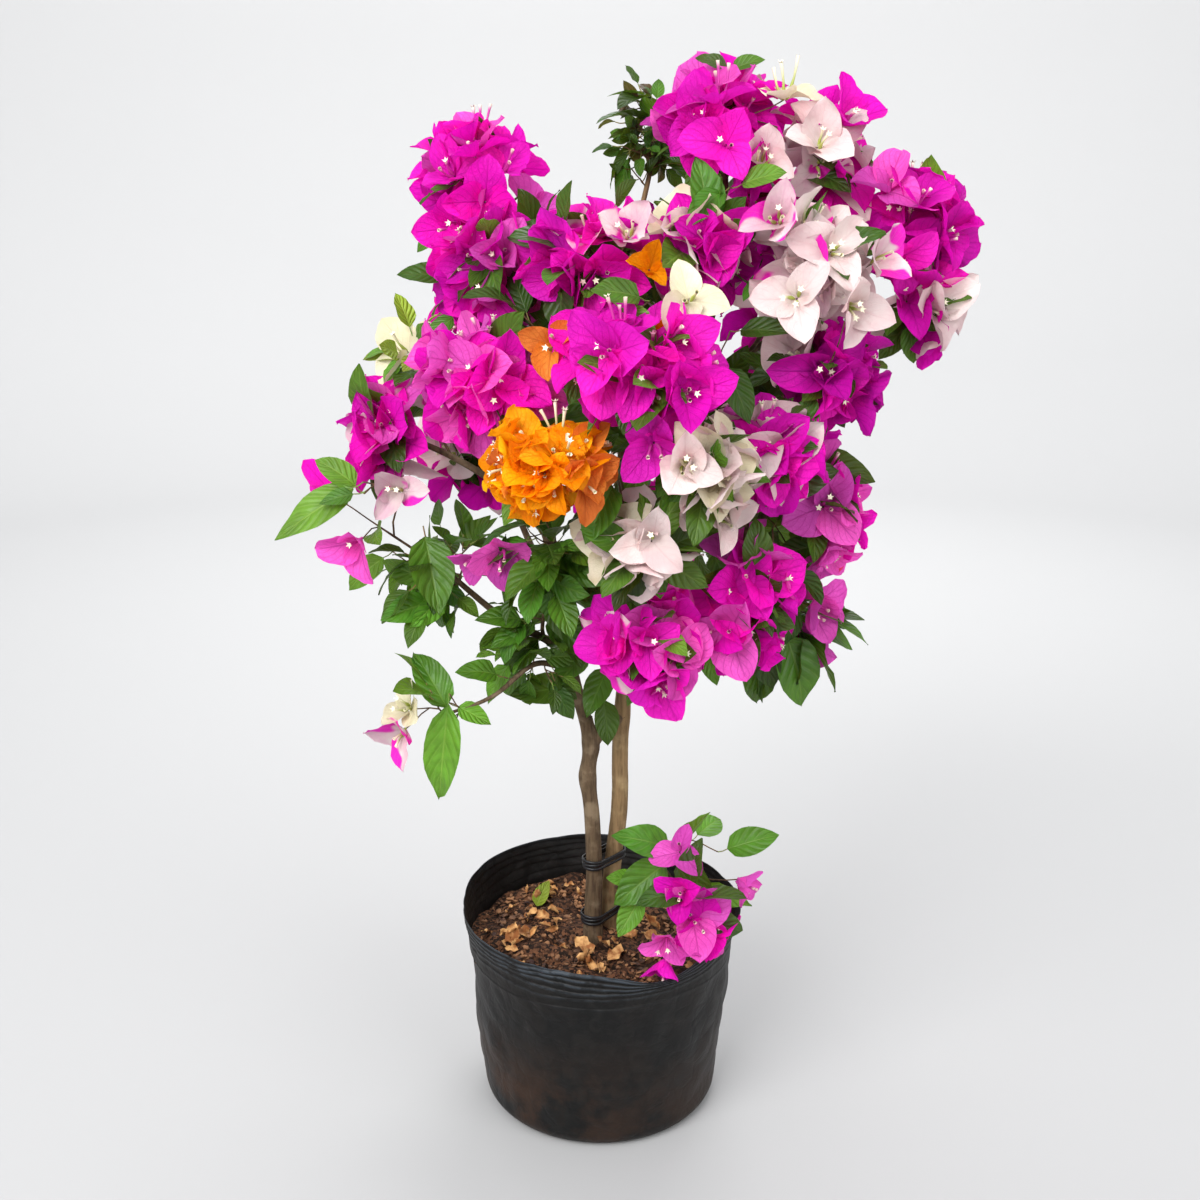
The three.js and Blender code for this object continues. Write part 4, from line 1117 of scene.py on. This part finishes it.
def make_litter():
    """Bark chips and dry fallen bracts on the soil: chips are bent slivers, six-sided in plan."""
    rng = chance("litter")
    n = 900
    foot = np.stack([*strewn(n, 124, rng), 168.6 + rng.uniform(-0.5, 1.2, n)], axis=1) * MM
    way, tilt = rng.uniform(0, 2 * math.pi, n), rng.normal(0, 0.3, n)
    along = np.stack([np.cos(way) * np.cos(tilt), np.sin(way) * np.cos(tilt), np.sin(tilt)], axis=1)
    face = square_to(along, UP + rng.normal(size=(n, 3)) * 0.4)
    points, faces, maps = blades(
        foot, along, face, rng.uniform(0.0025, 0.008, n), rng.uniform(0.3, 0.7, n), CHIP_OUTLINE,
        rng.uniform(0, 0.5, n), rng.uniform(-0.3, 0.3, n), 0.06, rng.uniform(0, 6, n), 0.0, 5, 4)
    paint = plain_skin("bark_chip", "#35201a", "#946844", 20, 0.85)
    chips = piece("bark_chips", points, [faces], paint, "potting_soil")
    chips.modifiers.new("body", "SOLIDIFY").thickness = 1.0 * MM
    n = 70
    foot = np.stack([*strewn(n, 112, rng), np.full(n, 171.0)], axis=1) * MM
    way = rng.uniform(0, 2 * math.pi, n)
    along = unit(np.stack([np.cos(way), np.sin(way), rng.uniform(-0.1, 0.35, n)], axis=1))
    face = square_to(along, UP + rng.normal(size=(n, 3)) * 0.4)
    points, faces, maps = blades(
        foot, along, face, rng.uniform(0.010, 0.026, n), 0.6, DRY_OUTLINE,
        rng.uniform(-2.2, 2.2, n), rng.uniform(0.3, 1.2, n), 0.1, rng.uniform(0, 6, n), 0.3, 9, 7)
    paint = plain_skin("dry_bract_paper", "#8a5224", "#d8a86c", 9, 0.8)
    piece("dry_bracts", points, [faces], paint, "potting_soil")


def make_ties():
    """Ties: a flat band wound round both stems, its middle line a loop with straight sides and round
    ends, with three turns that lie unevenly."""
    around = 96
    a = np.linspace(0, 2 * math.pi, around, endpoint=False)
    ring = np.stack([np.cos(a), np.sin(a)], axis=1)
    corners = len(BAND)
    cells = grid_faces(around + 1, corners, wrap=True)[:, ::-1] % (around * corners)
    parts = []
    for name, left, right, reach in TIES:
        low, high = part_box(name)
        left, right = np.array(left, float), np.array(right, float)
        heading = math.atan2(*(right - left)[::-1])
        centre = np.where((np.cos(a - heading) > 0)[:, None], right, left)
        for turn in range(3):
            z = (low.z + high.z) / 2 / MM - 3 + 3 * turn + 0.8 * np.sin(a + turn * 2)
            r = reach + BAND[:, 0][None] + 0.25 * turn
            flat = centre[:, None] + ring[:, None] * r[..., None]
            points = np.concatenate([flat, (z[:, None] + BAND[:, 1][None])[..., None]], axis=-1)
            parts.append(points.reshape(-1, 3) * MM)
    faces = repeated(cells, len(parts), around * corners)
    tape = plain_skin("black_tape", "#0f0f11", "#1c1c20", 8, 0.45)
    piece("ties", np.vstack(parts), [faces], tape, "tie_tape", ["tie_lower", "tie_upper"])


# ---------------------------------------------------------------- stage


def make_stage():
    """A paper bowl: a flat floor that curves up into a wall all round, and soft light from above."""
    arc = np.linspace(0, math.pi / 2, 24)
    curve = np.stack([3 + 1.5 * np.sin(arc), 1.5 - 1.5 * np.cos(arc)], axis=1)[1:]
    profile = np.vstack([[[0.02, 0]], [[3.0, 0]], curve, [[4.5, 3.6]]])
    count = 96
    a = 2 * math.pi * np.arange(count) / count
    points = turned_points(profile[:, :1], profile[:, 1:], a[None]).reshape(-1, 3)
    faces = [grid_faces(len(profile), count, wrap=True), fan(len(points), 0, count)]
    piece("floor", np.vstack([points, [[0, 0, 0.0]]]), faces, studio_paper(), None)
    world = bpy.data.worlds.new("soft_sky")
    world.use_nodes = True
    sky = world.node_tree.nodes["Background"].inputs
    sky["Color"].default_value, sky["Strength"].default_value = linear("#f4f6fa"), 1.0
    bpy.context.scene.world = world
    for name, spot, aim, size, power in LAMPS:
        light = bpy.data.lights.new(name, "AREA")
        light.size, light.energy = size, power
        lamp = placed(name, light)
        lamp.location = spot
        aim = np.array(aim) - np.array(spot)
        lamp.rotation_euler = (math.acos(-unit(aim)[2]), 0, math.atan2(-aim[0], aim[1]))


def make_camera():
    """The camera: in front of the plant and above its middle, tilted a little down."""
    camera = bpy.data.cameras.new("camera")
    camera.lens, camera.sensor_width = 42, 36
    eye = placed("camera", camera)
    eye.location = (0, -1.26, 0.885)
    eye.rotation_euler = (math.radians(90 - 16.3), 0, 0)
    bpy.context.scene.camera = eye
    bpy.context.scene.view_settings.view_transform = "Standard"


make_camera()
make_stage()
make_bag()
make_soil()
make_litter()
make_ties()
make_limbs()
wood, crop = grow_crown()
make_wood(wood, crop)
make_blades("leaves", crop.leaves, LEAF_PAINT, chance("leaves"))
make_blades("bracts", crop.bracts, BRACT_PAINT, chance("bracts"))
make_flowers(crop, chance("flowers"))
